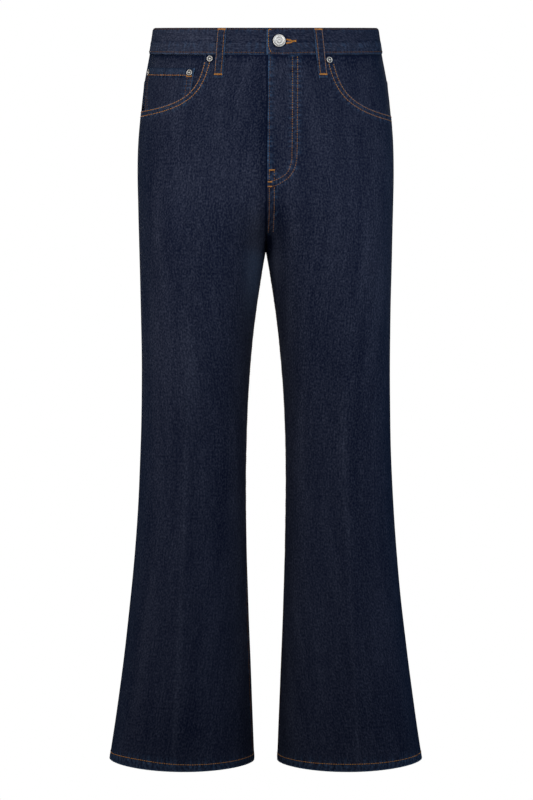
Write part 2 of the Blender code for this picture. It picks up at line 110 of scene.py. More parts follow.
# Soft creases: side, degrees and drop of each end, bend, half width, height. Degrees are positive in front
softCreases = (
    (right, 84, 0.262, 50, 0.214, 0.004, 0.0075, -0.0008),
    (right, 92, 0.288, 62, 0.262, 0.003, 0.0065, -0.0007),
    (right, 108, 0.318, 70, 0.306, 0.003, 0.008, -0.0008),
    (left, 82, 0.256, 52, 0.203, -0.004, 0.008, -0.0009),
    (left, 94, 0.284, 58, 0.252, -0.003, 0.0065, -0.0006),
    (left, 110, 0.316, 74, 0.3, 0.003, 0.0085, -0.0008),
    (right, 70, 0.13, 74, 0.215, 0.002, 0.009, 0.0006),
    (left, 60, 0.15, 66, 0.24, 0.003, 0.011, 0.0006),
    (left, 76, 0.06, 55, 0.046, 0.002, 0.0055, -0.0006),
    (left, 40, 0.052, 10, 0.047, 0.001, 0.005, -0.0005),
    (right, 40, 0.6, 96, 0.622, 0.006, 0.013, -0.0007),
    (right, 120, 0.566, 74, 0.548, -0.004, 0.012, -0.0006),
    (left, 44, 0.586, 88, 0.604, 0.005, 0.013, -0.0006),
    (left, 122, 0.628, 70, 0.646, 0.004, 0.012, -0.0006),
    (right, -40, 0.29, -100, 0.322, 0.008, 0.012, -0.0022),
    (right, -58, 0.336, -118, 0.352, 0.006, 0.011, -0.0018),
    (right, -30, 0.372, -84, 0.386, 0.005, 0.014, -0.0012),
    (left, -44, 0.296, -104, 0.326, 0.007, 0.012, -0.002),
    (left, -52, 0.344, -120, 0.36, 0.006, 0.012, -0.0019),
    (left, -28, 0.38, -90, 0.398, 0.005, 0.013, -0.0011),
    (right, -36, 0.566, -126, 0.58, 0.006, 0.012, -0.0017),
    (right, -60, 0.61, -138, 0.6, -0.005, 0.011, -0.0015),
    (right, -44, 0.652, -104, 0.664, 0.004, 0.013, -0.0011),
    (left, -34, 0.572, -120, 0.59, 0.006, 0.012, -0.0018),
    (left, -66, 0.622, -134, 0.61, -0.004, 0.011, -0.0014),
    (left, -40, 0.66, -98, 0.676, 0.004, 0.014, -0.001),
    (right, -64, 0.86, -112, 0.874, 0.004, 0.015, -0.0009),
    (left, -60, 0.848, -108, 0.866, 0.004, 0.015, -0.0009),
)

# Painted light and painted shade where the form is lit or shaded, with a few paler worn spots: side, x, drop, half
# width, half length, amount. The back has the same ones, sides exchanged
dyeAndPaintedLightPatches = (
    (right, 0.004, 0.15, 0.0065, 0.085, -0.45),
    (right, 0.014, 0.14, 0.006, 0.06, -0.12),
    (left, 0.018, 0.19, 0.012, 0.05, -0.08),
    (right, 0.099, 0.465, 0.011, 0.06, 0.25),
    (right, 0.054, 0.6, 0.014, 0.12, -0.26),
    (left, 0.148, 0.33, 0.018, 0.085, 0.32),
    (right, 0.14, 0.43, 0.02, 0.12, 0.12),
    (right, 0.125, 0.085, 0.026, 0.04, 0.16),
    (left, 0.117, 0.62, 0.014, 0.18, -0.14),
    (right, 0.108, 0.935, 0.05, 0.035, -0.16),
    (left, 0.108, 0.935, 0.05, 0.035, -0.12),
    (right, 0.0285, 0.93, 0.007, 0.06, -0.22),
    (right, 0.0125, 0.335, 0.013, 0.06, 1.0),
    (right, 0.0105, 0.285, 0.009, 0.035, 0.55),
    (left, 0.0046, 0.2965, 0.0032, 0.011, -1.6),
    (left, 0.015, 0.318, 0.007, 0.022, 0.55),
    (left, 0.015, 0.058, 0.008, 0.008, 0.3),
    (left, 0.008, 0.185, 0.008, 0.045, -0.14),
    (left, 0.016, 0.258, 0.014, 0.02, -0.2),
    (left, 0.115, 0.046, 0.016, 0.01, -0.18),
    (left, 0.06, 0.044, 0.035, 0.007, -0.14),
    (right, 0.148, 0.045, 0.014, 0.012, 0.22),
    (left, 0.014, 0.107, 0.012, 0.018, 0.18),
    (right, 0.022, 0.107, 0.012, 0.018, 0.08),
    (right, 0.038, 0.645, 0.013, 0.03, 0.22),
)
pressedDye = 0.14  # paler along the pressed creases
innerPaintedLight = 0.3  # painted light, paler along the inner thighs and legs where they turn from the lamps
sidePaintedShade = {"tone": -0.24, "wear": 0.07, "width": 0.016}  # painted shade at the sides: darker and bluer there, as the light falls
thighPaintedLight = (0.0125, 0.335, 0.013, 0.05, 0.3)  # painted light on the wearer's right inner thigh, where the form turns from the lamps: x, drop, half sizes, wear


def smoothCurve(rows, column=1):
    table = np.array(rows, dtype=float)
    starts, values = table[:, 0], table[:, column]
    slopes = np.gradient(values, starts)

    def valueAt(where):
        where = np.clip(where, starts[0], starts[-1] + 0.02)
        i = np.clip(np.searchsorted(starts, where) - 1, 0, len(starts) - 2)
        span = starts[i + 1] - starts[i]
        s = np.minimum((where - starts[i]) / span, 1.0)
        inside = (2 * s**3 - 3 * s**2 + 1) * values[i] + (s**3 - 2 * s**2 + s) * span * slopes[i]
        inside += (3 * s**2 - 2 * s**3) * values[i + 1] + (s**3 - s**2) * span * slopes[i + 1]
        return inside + slopes[-1] * np.maximum(where - starts[-1], 0.0)

    return valueAt


outerAt, frontAt, backAt, squarenessAt = (smoothCurve(form["sections"], column) for column in (1, 2, 3, 4))
halfGapAt = smoothCurve(form["gaps"])
flyXAt = smoothCurve(form["flyEdge"])


def ease(s):
    s = np.clip(s, 0.0, 1.0)
    return s * s * (3 - 2 * s)


def bell(distance, width):
    return np.exp(-((distance / width) ** 2))


def roundCorner(across, down, squareness):
    return (np.abs(across) ** squareness + np.abs(down) ** squareness) ** (-1 / squareness)


def section(side, drop, isFront):  # the plane a section is cut at, its centre and half width from there
    middle = np.where(isFront & (drop < form["crotch"]), flyXAt(drop), 0.0)
    outer = outerAt(drop) - side * middle
    length = form["crotch"] - form["crotchStart"]
    s = np.clip((drop - form["crotchStart"]) / length, 0.0, 1.0)
    gaps = form["gaps"]
    lastSlope = 2 * (gaps[1][1] - gaps[0][1]) / (gaps[1][0] - gaps[0][0]) * length / outer
    parted = s * s * (3 - lastSlope - (2 - lastSlope) * s)  # 0 for one body, 1 for two legs
    bodyHalf = outer / (1 + parted)
    isLeg = drop >= form["crotch"]
    halfWidth = np.where(isLeg, (outer - halfGapAt(drop)) / 2, bodyHalf)
    centre = np.where(isLeg, (outer + halfGapAt(drop)) / 2, outer - bodyHalf)
    return middle, centre, halfWidth


def bareSkin(side, angle, drop):  # the angle is 0 at the outseam, positive in front
    side, angle, drop = np.broadcast_arrays(side, angle, drop)
    isFront = angle >= 0
    middle, centre, halfWidth = section(side, drop, isFront)
    depth = np.where(isFront, frontAt(drop), backAt(drop))
    across, forward = np.cos(angle), np.sin(angle)
    out = roundCorner(across, forward, squarenessAt(drop))
    x = middle + side * (centre + halfWidth * across * out)
    y = -depth * forward * out
    level = ease((drop - form["bandHeight"]) / (form["tiltEnd"] - form["bandHeight"]))
    return np.stack((x, y, form["waistTilt"] * (1 - level) * y - drop), axis=-1)


def outward(side, angle, drop):
    step = 1e-4
    roundBody = bareSkin(side, angle + step, drop) - bareSkin(side, angle - step, drop)
    down = bareSkin(side, angle, drop + step) - bareSkin(side, angle, drop - step)
    normal = np.cross(roundBody, down) * np.asarray(side)[..., None]
    return normal / np.linalg.norm(normal, axis=-1, keepdims=True)


def waves(seed, count, shortest, longest, upright=1.0):  # a smooth unevenness from many sines
    rng = np.random.default_rng(seed)
    lengths = np.exp(rng.uniform(np.log(shortest), np.log(longest), count))
    ways = rng.normal(size=(count, 3))
    ways /= np.linalg.norm(ways, axis=1, keepdims=True)
    ways *= 2 * np.pi / lengths[:, None]
    ways[:, 2] /= upright
    phases = rng.uniform(0, 2 * np.pi, count)
    return lambda points: np.sin(points @ ways.T + phases).sum(axis=-1) / math.sqrt(count)


# dye patches, paler pressed creases, and painted light and painted shade, as one tone
def dyeAndPaintedLightTone(side, angle, drop, points):
    x = side * points[..., 0]
    tone = np.zeros(points.shape[:-1])
    for patchSide, patchX, patchDrop, halfWidth, halfLength, amount in dyeAndPaintedLightPatches:
        here = np.where(angle > 0, side == patchSide, side != patchSide)
        tone = tone + amount * here * bell(x - patchX, halfWidth) * bell(drop - patchDrop, halfLength)
    for _, xTop, xBottom, top, bottom, _, _ in frontFolds[-2:]:
        line = xTop + (drop - top) / (bottom - top) * (xBottom - xTop)
        tone = tone + pressedDye * bell(x - line, 0.0035) * ease((drop - 0.4) / 0.2)
    return tone + innerPaintedLight * bell(x - halfGapAt(drop) - 0.009, 0.015) * ease((drop - 0.3) / 0.03)


slackHeight = 0.00022
slackness = waves(7, 22, 0.045, 0.16, upright=2.2)
unevenSewing = waves(11, 16, 0.014, 0.05)


def relief(side, angle, drop, points):  # folds, creases and slackness, in metres out of the skin
    side, angle, drop = np.broadcast_arrays(side, angle, drop)
    height = slackHeight * slackness(points) * ease((drop - 0.01) / 0.05)
    x = side * (points[..., 0] - section(side, drop, angle > 0)[0])
    for foldSide, xTop, xBottom, top, bottom, halfWidth, rise in frontFolds:
        along = (drop - top) / (bottom - top)
        across = np.abs(x - xTop - along * (xBottom - xTop)) / halfWidth
        ends = ease(4 * along) * ease(4 * (1 - along))
        shape = ends * np.clip(1 - across**2, 0, 1) ** 2 * (angle > 0) * (side == foldSide)
        height = height + rise * shape
    for creaseSide, startTurn, startDrop, endTurn, endDrop, bend, halfWidth, rise in softCreases:
        start = np.array((math.radians(startTurn) * 0.12, startDrop))
        run = np.array((math.radians(endTurn) * 0.12, endDrop)) - start
        length = float(np.hypot(*run))
        a, d = angle * 0.12 - start[0], drop - start[1]
        along = (a * run[0] + d * run[1]) / length**2
        off = (a * run[1] - d * run[0]) / length - 4 * bend * along * (1 - along)
        ends = ease(along / 0.4) * ease((1 - along) / 0.4) * (side == creaseSide)
        height = height + rise * ends * (bell(off, halfWidth) - 0.45 * bell(off, 2.2 * halfWidth))
    return height


def skin(side, angle, drop, lift=0.0):
    points = bareSkin(side, angle, drop)
    out = np.asarray(lift + relief(side, angle, drop, points))[..., None]
    return points + out * outward(side, angle, drop)


def angleForX(side, drop, x, isFront=True):  # x is measured from where the two sides meet
    _, centre, halfWidth = section(side, drop, np.asarray(isFront))
    across = np.clip((x - centre) / halfWidth, -1.0, 1.0)
    squareness = squarenessAt(drop)
    forward = (1 - np.abs(across) ** squareness) ** (1 / squareness)
    return np.arctan2(forward, across)


def angleAtX(side, drop, x):  # in front, x towards the wearer's left
    return angleForX(side, drop, side * (x - flyXAt(drop)))


def seamAngle(drop, isFront):
    return form["seamOpen"] / 2 / (frontAt(drop) if isFront else backAt(drop))


def endAngle(side, drop, isFront, x=None):  # in the middle of the body, or at the inseam
    inseam = np.pi - seamAngle(drop, isFront)
    x = form["seamOpen"] / 2 if x is None else x
    middle = np.minimum(angleForX(side, drop, x, isFront), inseam)
    return np.where(drop >= form["crotch"], inseam, middle)


shares = np.linspace(0, 1, 181)
tableDrops = np.linspace(0, 1.0, 401)
arcTables = {}
for sideOfTable in (left, right):
    for isFrontTable in (True, False):
        sign = 1 if isFrontTable else -1
        ends = endAngle(sideOfTable, tableDrops, isFrontTable)
        points = bareSkin(sideOfTable, sign * ends[:, None] * shares, tableDrops[:, None])
        steps = np.linalg.norm(np.diff(points, axis=1), axis=2)
        arcTables[sideOfTable, isFrontTable] = np.hstack((np.zeros((401, 1)), np.cumsum(steps, axis=1)))


def arcRow(side, drop, isFront):
    table = arcTables[side, isFront]
    place = min(max(drop * 400, 0.0), 399.999)
    low = int(place)
    return table[low] + (table[low + 1] - table[low]) * (place - low)


def angleAt(side, drop, distance, isFront=True, fromMiddle=False):  # by the way along the cloth
    distance, drop = np.broadcast_arrays(distance, drop)
    found = np.empty(drop.shape)
    for where in np.ndindex(drop.shape):
        row = arcRow(side, float(drop[where]), isFront)
        along = row[-1] - distance[where] if fromMiddle else distance[where]
        found[where] = np.interp(along, row, shares)
    return (1 if isFront else -1) * found * endAngle(side, drop, isFront)


def arcOf(side, angle, drop, isFront):  # the way along the cloth from the outseam
    table = arcTables[side, isFront]
    place = np.clip(drop * 400, 0, 399.999)
    low = place.astype(int)
    part = np.abs(angle) / endAngle(side, drop, isFront) * 180
    k = np.clip(part.astype(int), 0, 179)
    first = table[low, k] + (table[low + 1, k] - table[low, k]) * (place - low)
    second = table[low, k + 1] + (table[low + 1, k + 1] - table[low, k + 1]) * (place - low)
    return first + (second - first) * (part - k)


def around(turn):  # side and angle at this many degrees round from the front, by the wearer's right
    turn = np.asarray(turn, dtype=float)
    side = np.where((turn >= 0) & (turn < 180), right, left)
    degrees = np.where(turn < 0, 90 + turn, np.where(turn < 180, 90 - turn, turn - 270))
    return side, np.radians(degrees)


def hemDrop(drop, angle):
    sag = form["hemInnerDip"] * (1 - np.cos(angle)) / 2 + form["hemMiddleDip"] * np.sin(angle) ** 2
    below = np.maximum(drop - form["crotch"], 0.0) / (form["hem"] - form["crotch"])
    return drop + sag * below


denimLook = {
    "deep": (0.0052, 0.0086, 0.0245),
    "mid": (0.032, 0.0382, 0.0665),
    "pale": (0.09, 0.19, 0.36),
    "reverse": (0.09, 0.115, 0.19),
    "reverseGrain": 0.55,  # the darker colour of the reverse, as a share of it
    "noises": (  # per metre across and along the warp, strength, detail
        (465.0, 330.0, 2.35, 1.0),
        (480.0, 60.0, 1.2, 2.0),
        (52.0, 8.0, 0.9, 2.0),
    ),
    "middle": 0.46,  # from the deep to the mid colour
    "curve": 1.8,  # above 1, few pale specks on darker cloth
    "palest": 2.5,  # from the deep to the mid colour, and past it
    "twill": (400.0, -62.0, 0.6, 0.35),  # per metre, degrees, distortion, share of the bump
    "rubbing": (420.0, 0.7, 1.6, -0.3),  # per metre, roughness, contrast, level
    "bump": (0.55, 0.0006),  # strength, metres
}


def newNode(tree, kind, inputs=None, **settings):  # an input is a number, a colour or another node's output
    made = tree.nodes.new("ShaderNode" + kind)
    for key, value in settings.items():
        setattr(made, key, value)
    for key, value in (inputs or {}).items():
        socket = made.inputs[key]
        if isinstance(value, bpy.types.NodeSocket):
            tree.links.new(value, socket)
        else:
            socket.default_value = (*value, 1.0) if socket.type == "RGBA" else value
    return made


def mathNode(tree, operation, *values, clamp=False):
    return newNode(tree, "Math", dict(enumerate(values)), operation=operation, use_clamp=clamp).outputs[0]


def mixColours(tree, factor, first, second):
    inputs = {"Factor": factor, "A": first, "B": second}
    return newNode(tree, "Mix", inputs, data_type="RGBA", clamp_factor=False).outputs["Result"]


def attributeNode(tree, name):
    return newNode(tree, "Attribute", attribute_name=name).outputs["Fac"]


def noiseOn(tree, source, scale, detail=2.0, roughness=0.5):
    placed = newNode(tree, "Mapping", {"Scale": (*scale, 1.0), "Vector": source}).outputs["Vector"]
    inputs = {"Scale": 1.0, "Detail": detail, "Roughness": roughness, "Vector": placed}
    return newNode(tree, "TexNoise", inputs, noise_dimensions="2D").outputs["Fac"]


def bumped(tree, shader, height, strength, distance):
    bump = newNode(tree, "Bump", {"Strength": strength, "Distance": distance, "Height": height})
    tree.links.new(bump.outputs["Normal"], shader.inputs["Normal"])


def newMaterial(name, roughness=0.5, specular=0.5):
    made = bpy.data.materials.new(name)
    made.use_nodes = True
    shader = made.node_tree.nodes["Principled BSDF"]
    shader.inputs["Roughness"].default_value = roughness
    shader.inputs["Specular IOR Level"].default_value = specular
    return made, made.node_tree, shader


def denim(name, look, isReverse=False):
    made, tree, shader = newMaterial(name, 0.88, 0.01)
    uv = newNode(tree, "UVMap", uv_map="cloth").outputs["UV"]
    mixed = -0.5 * sum(strength for _, _, strength, _ in look["noises"])
    for across, along, strength, detail in look["noises"]:
        mixed = mathNode(tree, "MULTIPLY_ADD", noiseOn(tree, uv, (across, along), detail), strength, mixed)
    contrast, tone, wear = (attributeNode(tree, key) for key in ("contrast", "tone", "wear"))
    grained = mathNode(tree, "MULTIPLY_ADD", mixed, contrast, look["middle"], clamp=True)
    specks = mathNode(tree, "POWER", grained, look["curve"])
    specks = mathNode(tree, "MULTIPLY", specks, look["middle"] ** (1 - look["curve"]))
    # the tone attribute carries dye, and painted light and painted shade
    toned = newNode(tree, "Clamp", {"Max": look["palest"], "Value": mathNode(tree, "ADD", specks, tone)})
    low, high = look["deep"], look["mid"]
    if isReverse:
        low, high = tuple(look["reverseGrain"] * c for c in look["reverse"]), look["reverse"]
    body = mixColours(tree, toned.outputs["Result"], low, high)

    scale, roughness, strength, level = look["rubbing"]
    rubbing = noiseOn(tree, uv, (scale, scale), 2.0, roughness)
    rubbed = mathNode(tree, "MULTIPLY_ADD", rubbing, strength, level, clamp=True)
    # the wear attribute mixes in the pale colour: real wear, and painted light in the bluer painted shade at the sides
    # and on the wearer's right inner thigh
    worn = mathNode(tree, "MULTIPLY", wear, rubbed, clamp=True)
    tree.links.new(mixColours(tree, worn, body, look["pale"]), shader.inputs["Base Color"])

    scale, degrees, distortion, share = look["twill"]
    turned = newNode(tree, "Mapping", {"Rotation": (0.0, 0.0, math.radians(degrees)), "Vector": uv}).outputs["Vector"]
    twill = newNode(tree, "TexWave", {"Scale": scale, "Distortion": distortion, "Vector": turned}).outputs["Fac"]
    bumped(tree, shader, mathNode(tree, "MULTIPLY_ADD", twill, share, mixed), *look["bump"])
    return made


def thread(name, colour):
    made, tree, shader = newMaterial(name, 0.6, 0.3)
    place = newNode(tree, "TexCoord").outputs["Object"]
    shade = noiseOn(tree, place, (300.0, 300.0), 2.0, 0.6)
    tree.links.new(mixColours(tree, shade, tuple(0.55 * c for c in colour), colour), shader.inputs["Base Color"])
    strands = newNode(tree, "TexWave", {"Scale": 900.0, "Vector": place}).outputs["Fac"]
    bumped(tree, shader, strands, 0.3, 0.0001)
    return made


def metal(name, colour, darker, recessed, roughness):
    made, tree, shader = newMaterial(name, roughness)
    place = newNode(tree, "TexCoord").outputs["Object"]
    tarnish = newNode(tree, "TexNoise", {"Scale": 700.0, "Detail": 3.0, "Vector": place}).outputs["Fac"]
    plated = mixColours(tree, tarnish, darker, colour)
    tree.links.new(mixColours(tree, attributeNode(tree, "recess"), plated, recessed), shader.inputs["Base Color"])
    bumped(tree, shader, tarnish, 0.15, 0.0001)
    shader.inputs["Metallic"].default_value = 0.6
    return made


indigoDenim = denim("indigoDenim", denimLook)
denimReverse = denim("denimReverse", denimLook, isReverse=True)
threads = {
    "Bright": thread("brightThread", (0.68, 0.285, 0.046)),
    "Copper": thread("copperThread", (0.5, 0.215, 0.036)),
    "Dull": thread("dullThread", (0.16, 0.064, 0.014)),
}
tackThread = thread("tackThread", (0.68, 0.28, 0.045))
nickel = metal("nickel", (0.68, 0.665, 0.645), (0.42, 0.41, 0.395), (0.03, 0.028, 0.026), 0.4)
print("finishes made")

sewing = {
    "pitch": 0.0031,
    "stitchLength": 0.0027,
    "dotLength": 0.0019,  # of a row that shows as dots
    "loopPitch": 0.0021,
    "threadWidth": 0.00092,
    "loopThreadWidth": 0.82,  # as a share, on the belt loops
    "threadHeight": 0.0007,
    "seat": 0.00028,  # from the cloth to a stitch's middle
    "pullDepth": 0.00022,  # how far a row draws the cloth in
    "pullReach": 0.002,
    "puckerHeight": 0.00016,
    "puckerPitch": 0.0062,
    "puckerReach": 0.005,
    "puckerShown": 0.0042,  # reach of the paler puckers
    "rows": (0.0016, 0.008),  # from the edge to each row of a double row
}
sideNames = {right: "Right", left: "Left"}


def millimetres(corners):
    return [(x / 1000, drop / 1000) for x, drop in corners]


def sewnLine(side, angle, drop, lift=0.0, step=0.001):
    given = np.broadcast_arrays(side, angle, drop, lift)
    side, angle, drop, lift = (np.array(a, dtype=float) for a in given)
    points = skin(side, angle, drop, lift)
    lengths = np.concatenate(([0], np.cumsum(np.linalg.norm(np.diff(points, axis=0), axis=1))))
    along = np.linspace(0, lengths[-1], max(int(lengths[-1] / step), 3) + 1)
    line = {"along": along, "stitch": sewing["stitchLength"], "pitch": sewing["pitch"], "thread": "Copper"}
    line["angle"], line["drop"] = np.interp(along, lengths, angle), np.interp(along, lengths, drop)
    line["side"] = np.where(np.interp(along, lengths, side) > 0, left, right)
    line["lift"] = np.interp(along, lengths, lift)
    line["points"] = skin(line["side"], line["angle"], line["drop"], line["lift"])
    return line


def smoothPath(corners, count=160):
    corners = np.array(corners, dtype=float)
    chord = np.concatenate(([0], np.cumsum(np.linalg.norm(np.diff(corners, axis=0), axis=1))))
    where = np.linspace(0, chord[-1], count)
    rows = np.column_stack((chord, corners))
    return smoothCurve(rows, 1)(where), smoothCurve(rows, 2)(where)


def lineByX(side, corners):  # corners are (x, drop) in millimetres
    x, drop = smoothPath(millimetres(corners))
    return sewnLine(side, angleAtX(side, drop, x), drop)


def lineByArc(side, corners, lift=0.0, isFront=True, fromMiddle=False):  # corners are (way along, drop)
    along, drop = smoothPath(corners)
    return sewnLine(side, angleAt(side, drop, along, isFront, fromMiddle), drop, lift)


def puckerAt(points, along):
    return np.sin(2 * np.pi * along / sewing["puckerPitch"] + 2.2 * unevenSewing(points))


mouths = {right: (0.1305, 0.078, 3.3), left: (0.1225, 0.0845, 3.1)}  # reach, depth, squareness
mouthStart = {right: 0.0445, left: 0.046}  # drop at which the rows come out from under the rivets
belowBand = form["bandHeight"] + form["seamGap"]


def inThread(dye, line, stitch=None):
    line["thread"] = dye
    line["stitch"] = line["stitch"] if stitch is None else stitch
    return line


def mouthLine(side, inside):
    reach, depth, squareness = mouths[side]
    turn = np.linspace(0, np.pi / 2, 240)
    out = roundCorner(np.cos(turn), np.sin(turn), squareness)
    arc, down = reach * np.cos(turn) * out, depth * np.sin(turn) * out
    normal = np.stack((np.gradient(down), -np.gradient(arc)))
    normal /= np.linalg.norm(normal, axis=0)
    arc, drop = arc + inside * normal[0], belowBand + down + inside * normal[1]
    keep = (arc > 0.002) & (drop > mouthStart[side])
    dye = "Bright" if side == right else "Copper"
    return inThread(dye, sewnLine(side, angleAt(side, drop[keep], arc[keep]), drop[keep]))


hemRow = {"above": 0.009, right: (0.0027, 52, 30), left: (0.001, 95, 40)}  # higher round these degrees


def hemLine(side, isFront):
    angle = np.linspace(0.004, np.pi - 0.004, 200) * (1 if isFront else -1)
    more, middle, halfWidth = hemRow[side]
    above = hemRow["above"] + more * bell(np.degrees(np.abs(angle)) - middle, halfWidth)
    return inThread("Bright", sewnLine(side, angle, hemDrop(np.full(200, form["hem"]), angle) - above))


flyLines = {  # x and drop in millimetres
    "inner": (
        (34.8, 36.5), (34.8, 100), (34.5, 150), (34.2, 175), (33.2, 193), (28.0, 206.5), (18.5, 213.5), (10.5, 216.8),
        (3.6, 218.1),
    ),
    "outer": (
        (41.5, 36.5), (41.4, 100), (41.0, 150), (40.8, 175), (39.8, 192.0), (37.2, 202.0), (30.1, 212.4), (20.9, 219.1),
        (9.3, 224.1), (2.8, 224.4),
    ),
    "edge": ((5.9, 36.5), (5.4, 60), (4.7, 110), (4.6, 160), (4.6, 200)),
    "twins": (((4.7, 204), (4.7, 217)), ((11.2, 204), (11.2, 216))),
    "crotch": (((4.7, 226), (4.2, 262), (3.1, 281)), ((11.2, 225), (10.7, 262), (9.6, 281))),
}


coin = {
    "top": 0.0525,
    "bottom": 0.13,
    "edges": ((0.02, 0.1188), (0.042, 0.121)),  # ways from the outseam, above and below
    "rows": (0.0016, 0.0078),
    "hem": 0.0099,
    "hemHeight": 0.0003,
    "wear": {"top": 0.12, "sides": 0.5, "hem": 0.22, "corner": 0.3},
    "shade": {"hem": 0.9, "top": 0.5},
}
backPocket = {
    "top": 0.13,
    "height": 0.15,
    "point": 0.02,
    "middle": 0.088,
    "halfWidths": (0.076, 0.064),
    "hem": 0.024,
    "hemHeight": 0.0004,
    "wear": 0.5,
}
yokeSeam = {"side": 0.072, "middle": 0.104}


def yokeDrop(angle):
    part = np.minimum(np.abs(angle) / (np.pi / 2), 1.0)
    return yokeSeam["side"] + (yokeSeam["middle"] - yokeSeam["side"]) * part


inseamDrift = ((0.0, 0.33), (0.0, 0.6), (0.006, 0.7), (0.013, 0.78), (0.015, 0.86), (0.0152, 0.973))
inseamRow = (0.0024, {right: 1.0, left: 0.45})  # from the seam, and how much of the drift
seatEnds = (0.292, 0.29)
lines = {}
for side, name in sideNames.items():
    front = [mouthLine(side, inside) for inside in sewing["rows"]] + [hemLine(side, True)]
    inseam = [(inseamRow[0] + inseamRow[1][side] * way, drop) for way, drop in inseamDrift]
    front.append(inThread("Dull", lineByArc(side, inseam, fromMiddle=True)))
    angle = -np.linspace(0.02, np.pi / 2 - 0.01, 160)
    back = [hemLine(side, False)] + [sewnLine(side, angle, yokeDrop(angle) + below) for below in sewing["rows"]]
    yoke = []
    if side == left:
        rows = [(flyLines["inner"], "Copper"), (flyLines["outer"], "Copper"), (flyLines["edge"], "Dull")]
        rows += [(corners, "Copper") for corners in flyLines["twins"] + flyLines["crotch"]]
        for corners, dye in rows:
            front.append(inThread(dye, lineByX(left, corners), sewing["dotLength"]))
        for inside, end in zip(sewing["rows"], seatEnds):
            for row, corners in (
                (back, ((inside, 0.108), (inside, 0.2), (inside, end))),
                (yoke, ((inside, belowBand + 0.002), (inside, 0.1))),
            ):
                row.append(lineByArc(left, corners, isFront=False, fromMiddle=True))
    lines["front" + name], lines["back" + name], lines["yoke" + name] = front, back, yoke

    top, bottom = backPocket["halfWidths"]
    across = np.concatenate((np.full(60, -1.0), np.linspace(-1, 1, 80), np.full(60, 1.0)))
    down = np.concatenate((np.linspace(0, 1, 60), np.full(80, 1.0), np.linspace(1, 0, 60)))
    paths = []
    for inset in (edge + 0.0002 for edge in sewing["rows"]):
        low = backPocket["height"] - backPocket["point"] * np.abs(across) - inset
        paths.append((backPocket["top"] + down * low, across * (top + (bottom - top) * down - inset)))
    for below in (0.002, backPocket["hem"]):
        paths.append((np.full(60, backPocket["top"] + below), np.linspace(0.003 - top, top - 0.003, 60)))
    lines["backPocket" + name] = []
    for drop, away in paths:
        angle = angleAt(side, drop, backPocket["middle"] + away, isFront=False, fromMiddle=True)
        lines["backPocket" + name].append(sewnLine(side, angle, drop, form["layer"]))

coinLines = []
for inset in coin["rows"]:
    for edge, way in ((0, 1), (1, -1)):
        above, below = coin["edges"][0][edge], coin["edges"][1][edge]
        corners = ((above + way * inset, coin["top"] + coin["hem"]), (below + way * inset, coin["bottom"] - 0.001))
        coinLines.append(inThread("Dull", lineByArc(right, corners, -form["layer"]), sewing["dotLength"]))
corners = [(edge + way, coin["top"] + coin["hem"]) for edge, way in zip(coin["edges"][0], (0.002, -0.002))]
coinLines.append(inThread("Bright", lineByArc(right, corners, -form["layer"])))
lines["coinPocket"] = coinLines

band = {
    "wall": 0.0024,
    "lift": 0.0006,
    "outerEnd": 360.9,  # degrees round from the front
    "innerEnd": -15.0,
    "sink": (1.5, 9.0),  # the inner end comes up from under the outer one
    "lowerRow": 0.0029,
    "upperRow": 0.001,
    "roll": (0.0042, 0.0026),  # the upper edge leans in, over this height by this much
    "above": 0.0006,  # how far it stands above the loops' and panels' level
    "endRow": (0.9, 1.25),  # degrees from the end, above, and how much more below
    "groove": 0.0168,  # above the seam, where the turnings inside end
    "grooveDepth": 0.0002,
    "ripples": (0.0083, 0.25, 0.00022),  # below the groove: pitch, slant, height
    "lowerHeight": 0.00016,
    "paler": 0.12,
    "bevel": 0.0009,
}


def bandLift(turn):
    low, level = band["sink"]
    sunk = ease((level - turn) / (level - low))
    return band["lift"] - sunk * (band["wall"] + form["seamGap"])


turn = np.linspace(2.0, band["outerEnd"] - 0.8, 900)
nearEnd = ease((turn - 338) / 16)
side, angle = around(turn)
lower = form["bandHeight"] - band["lowerRow"] + 0.001 * nearEnd
bandRows = [inThread("Dull", sewnLine(side, angle, drop, bandLift(turn))) for drop in (lower, band["upperRow"])]
drop = np.linspace(0.0022, form["bandHeight"] - 0.0026, 60)
before, more = band["endRow"]
side, angle = around(band["outerEnd"] - before - more * ease((drop - 0.022) / 0.011))
bandRows.append(inThread("Copper", sewnLine(side, angle, drop, band["lift"]), 0.0031))
lines["waistbandCloth"] = bandRows
print("sewing lines laid out:", sum(len(rows) for rows in lines.values()))


def lengthsFrom(points, axis, isEnd=False):  # metres along the grid from one of its edges
    steps = np.linalg.norm(np.diff(points, axis=axis), axis=2)
    if isEnd:
        steps = np.flip(steps, axis)
    first = np.zeros((1, steps.shape[1])) if axis == 0 else np.zeros((steps.shape[0], 1))
    lengths = np.concatenate((first, np.cumsum(steps, axis=axis)), axis=axis)
    return np.flip(lengths, axis) if isEnd else lengths


def pulledIn(points, rows):  # how the sewing moves the cloth, and how it shows there
    if not rows:
        return np.zeros(len(points)), np.zeros(len(points))
    samples = np.concatenate([row["points"] for row in rows])
    along = np.concatenate([row["along"] for row in rows])
    tree = KDTree(len(samples))
    for n, sample in enumerate(samples):
        tree.insert(sample, n)
    tree.balance()
    nearest, distance = np.zeros(len(points), dtype=int), np.zeros(len(points))
    for n, point in enumerate(points):
        _, nearest[n], distance[n] = tree.find(point)
    pucker = puckerAt(samples[nearest], along[nearest])
    moved = -sewing["pullDepth"] * bell(distance, sewing["pullReach"])
    moved = moved + sewing["puckerHeight"] * pucker * bell(distance, sewing["puckerReach"])
    return moved, np.clip(pucker, 0, 1) * bell(distance, sewing["puckerShown"])


def gridShares(columns, rows):  # across and down, from 0 to 1
    return np.linspace(0, 1, columns + 1), np.linspace(0, 1, rows + 1)[:, None]


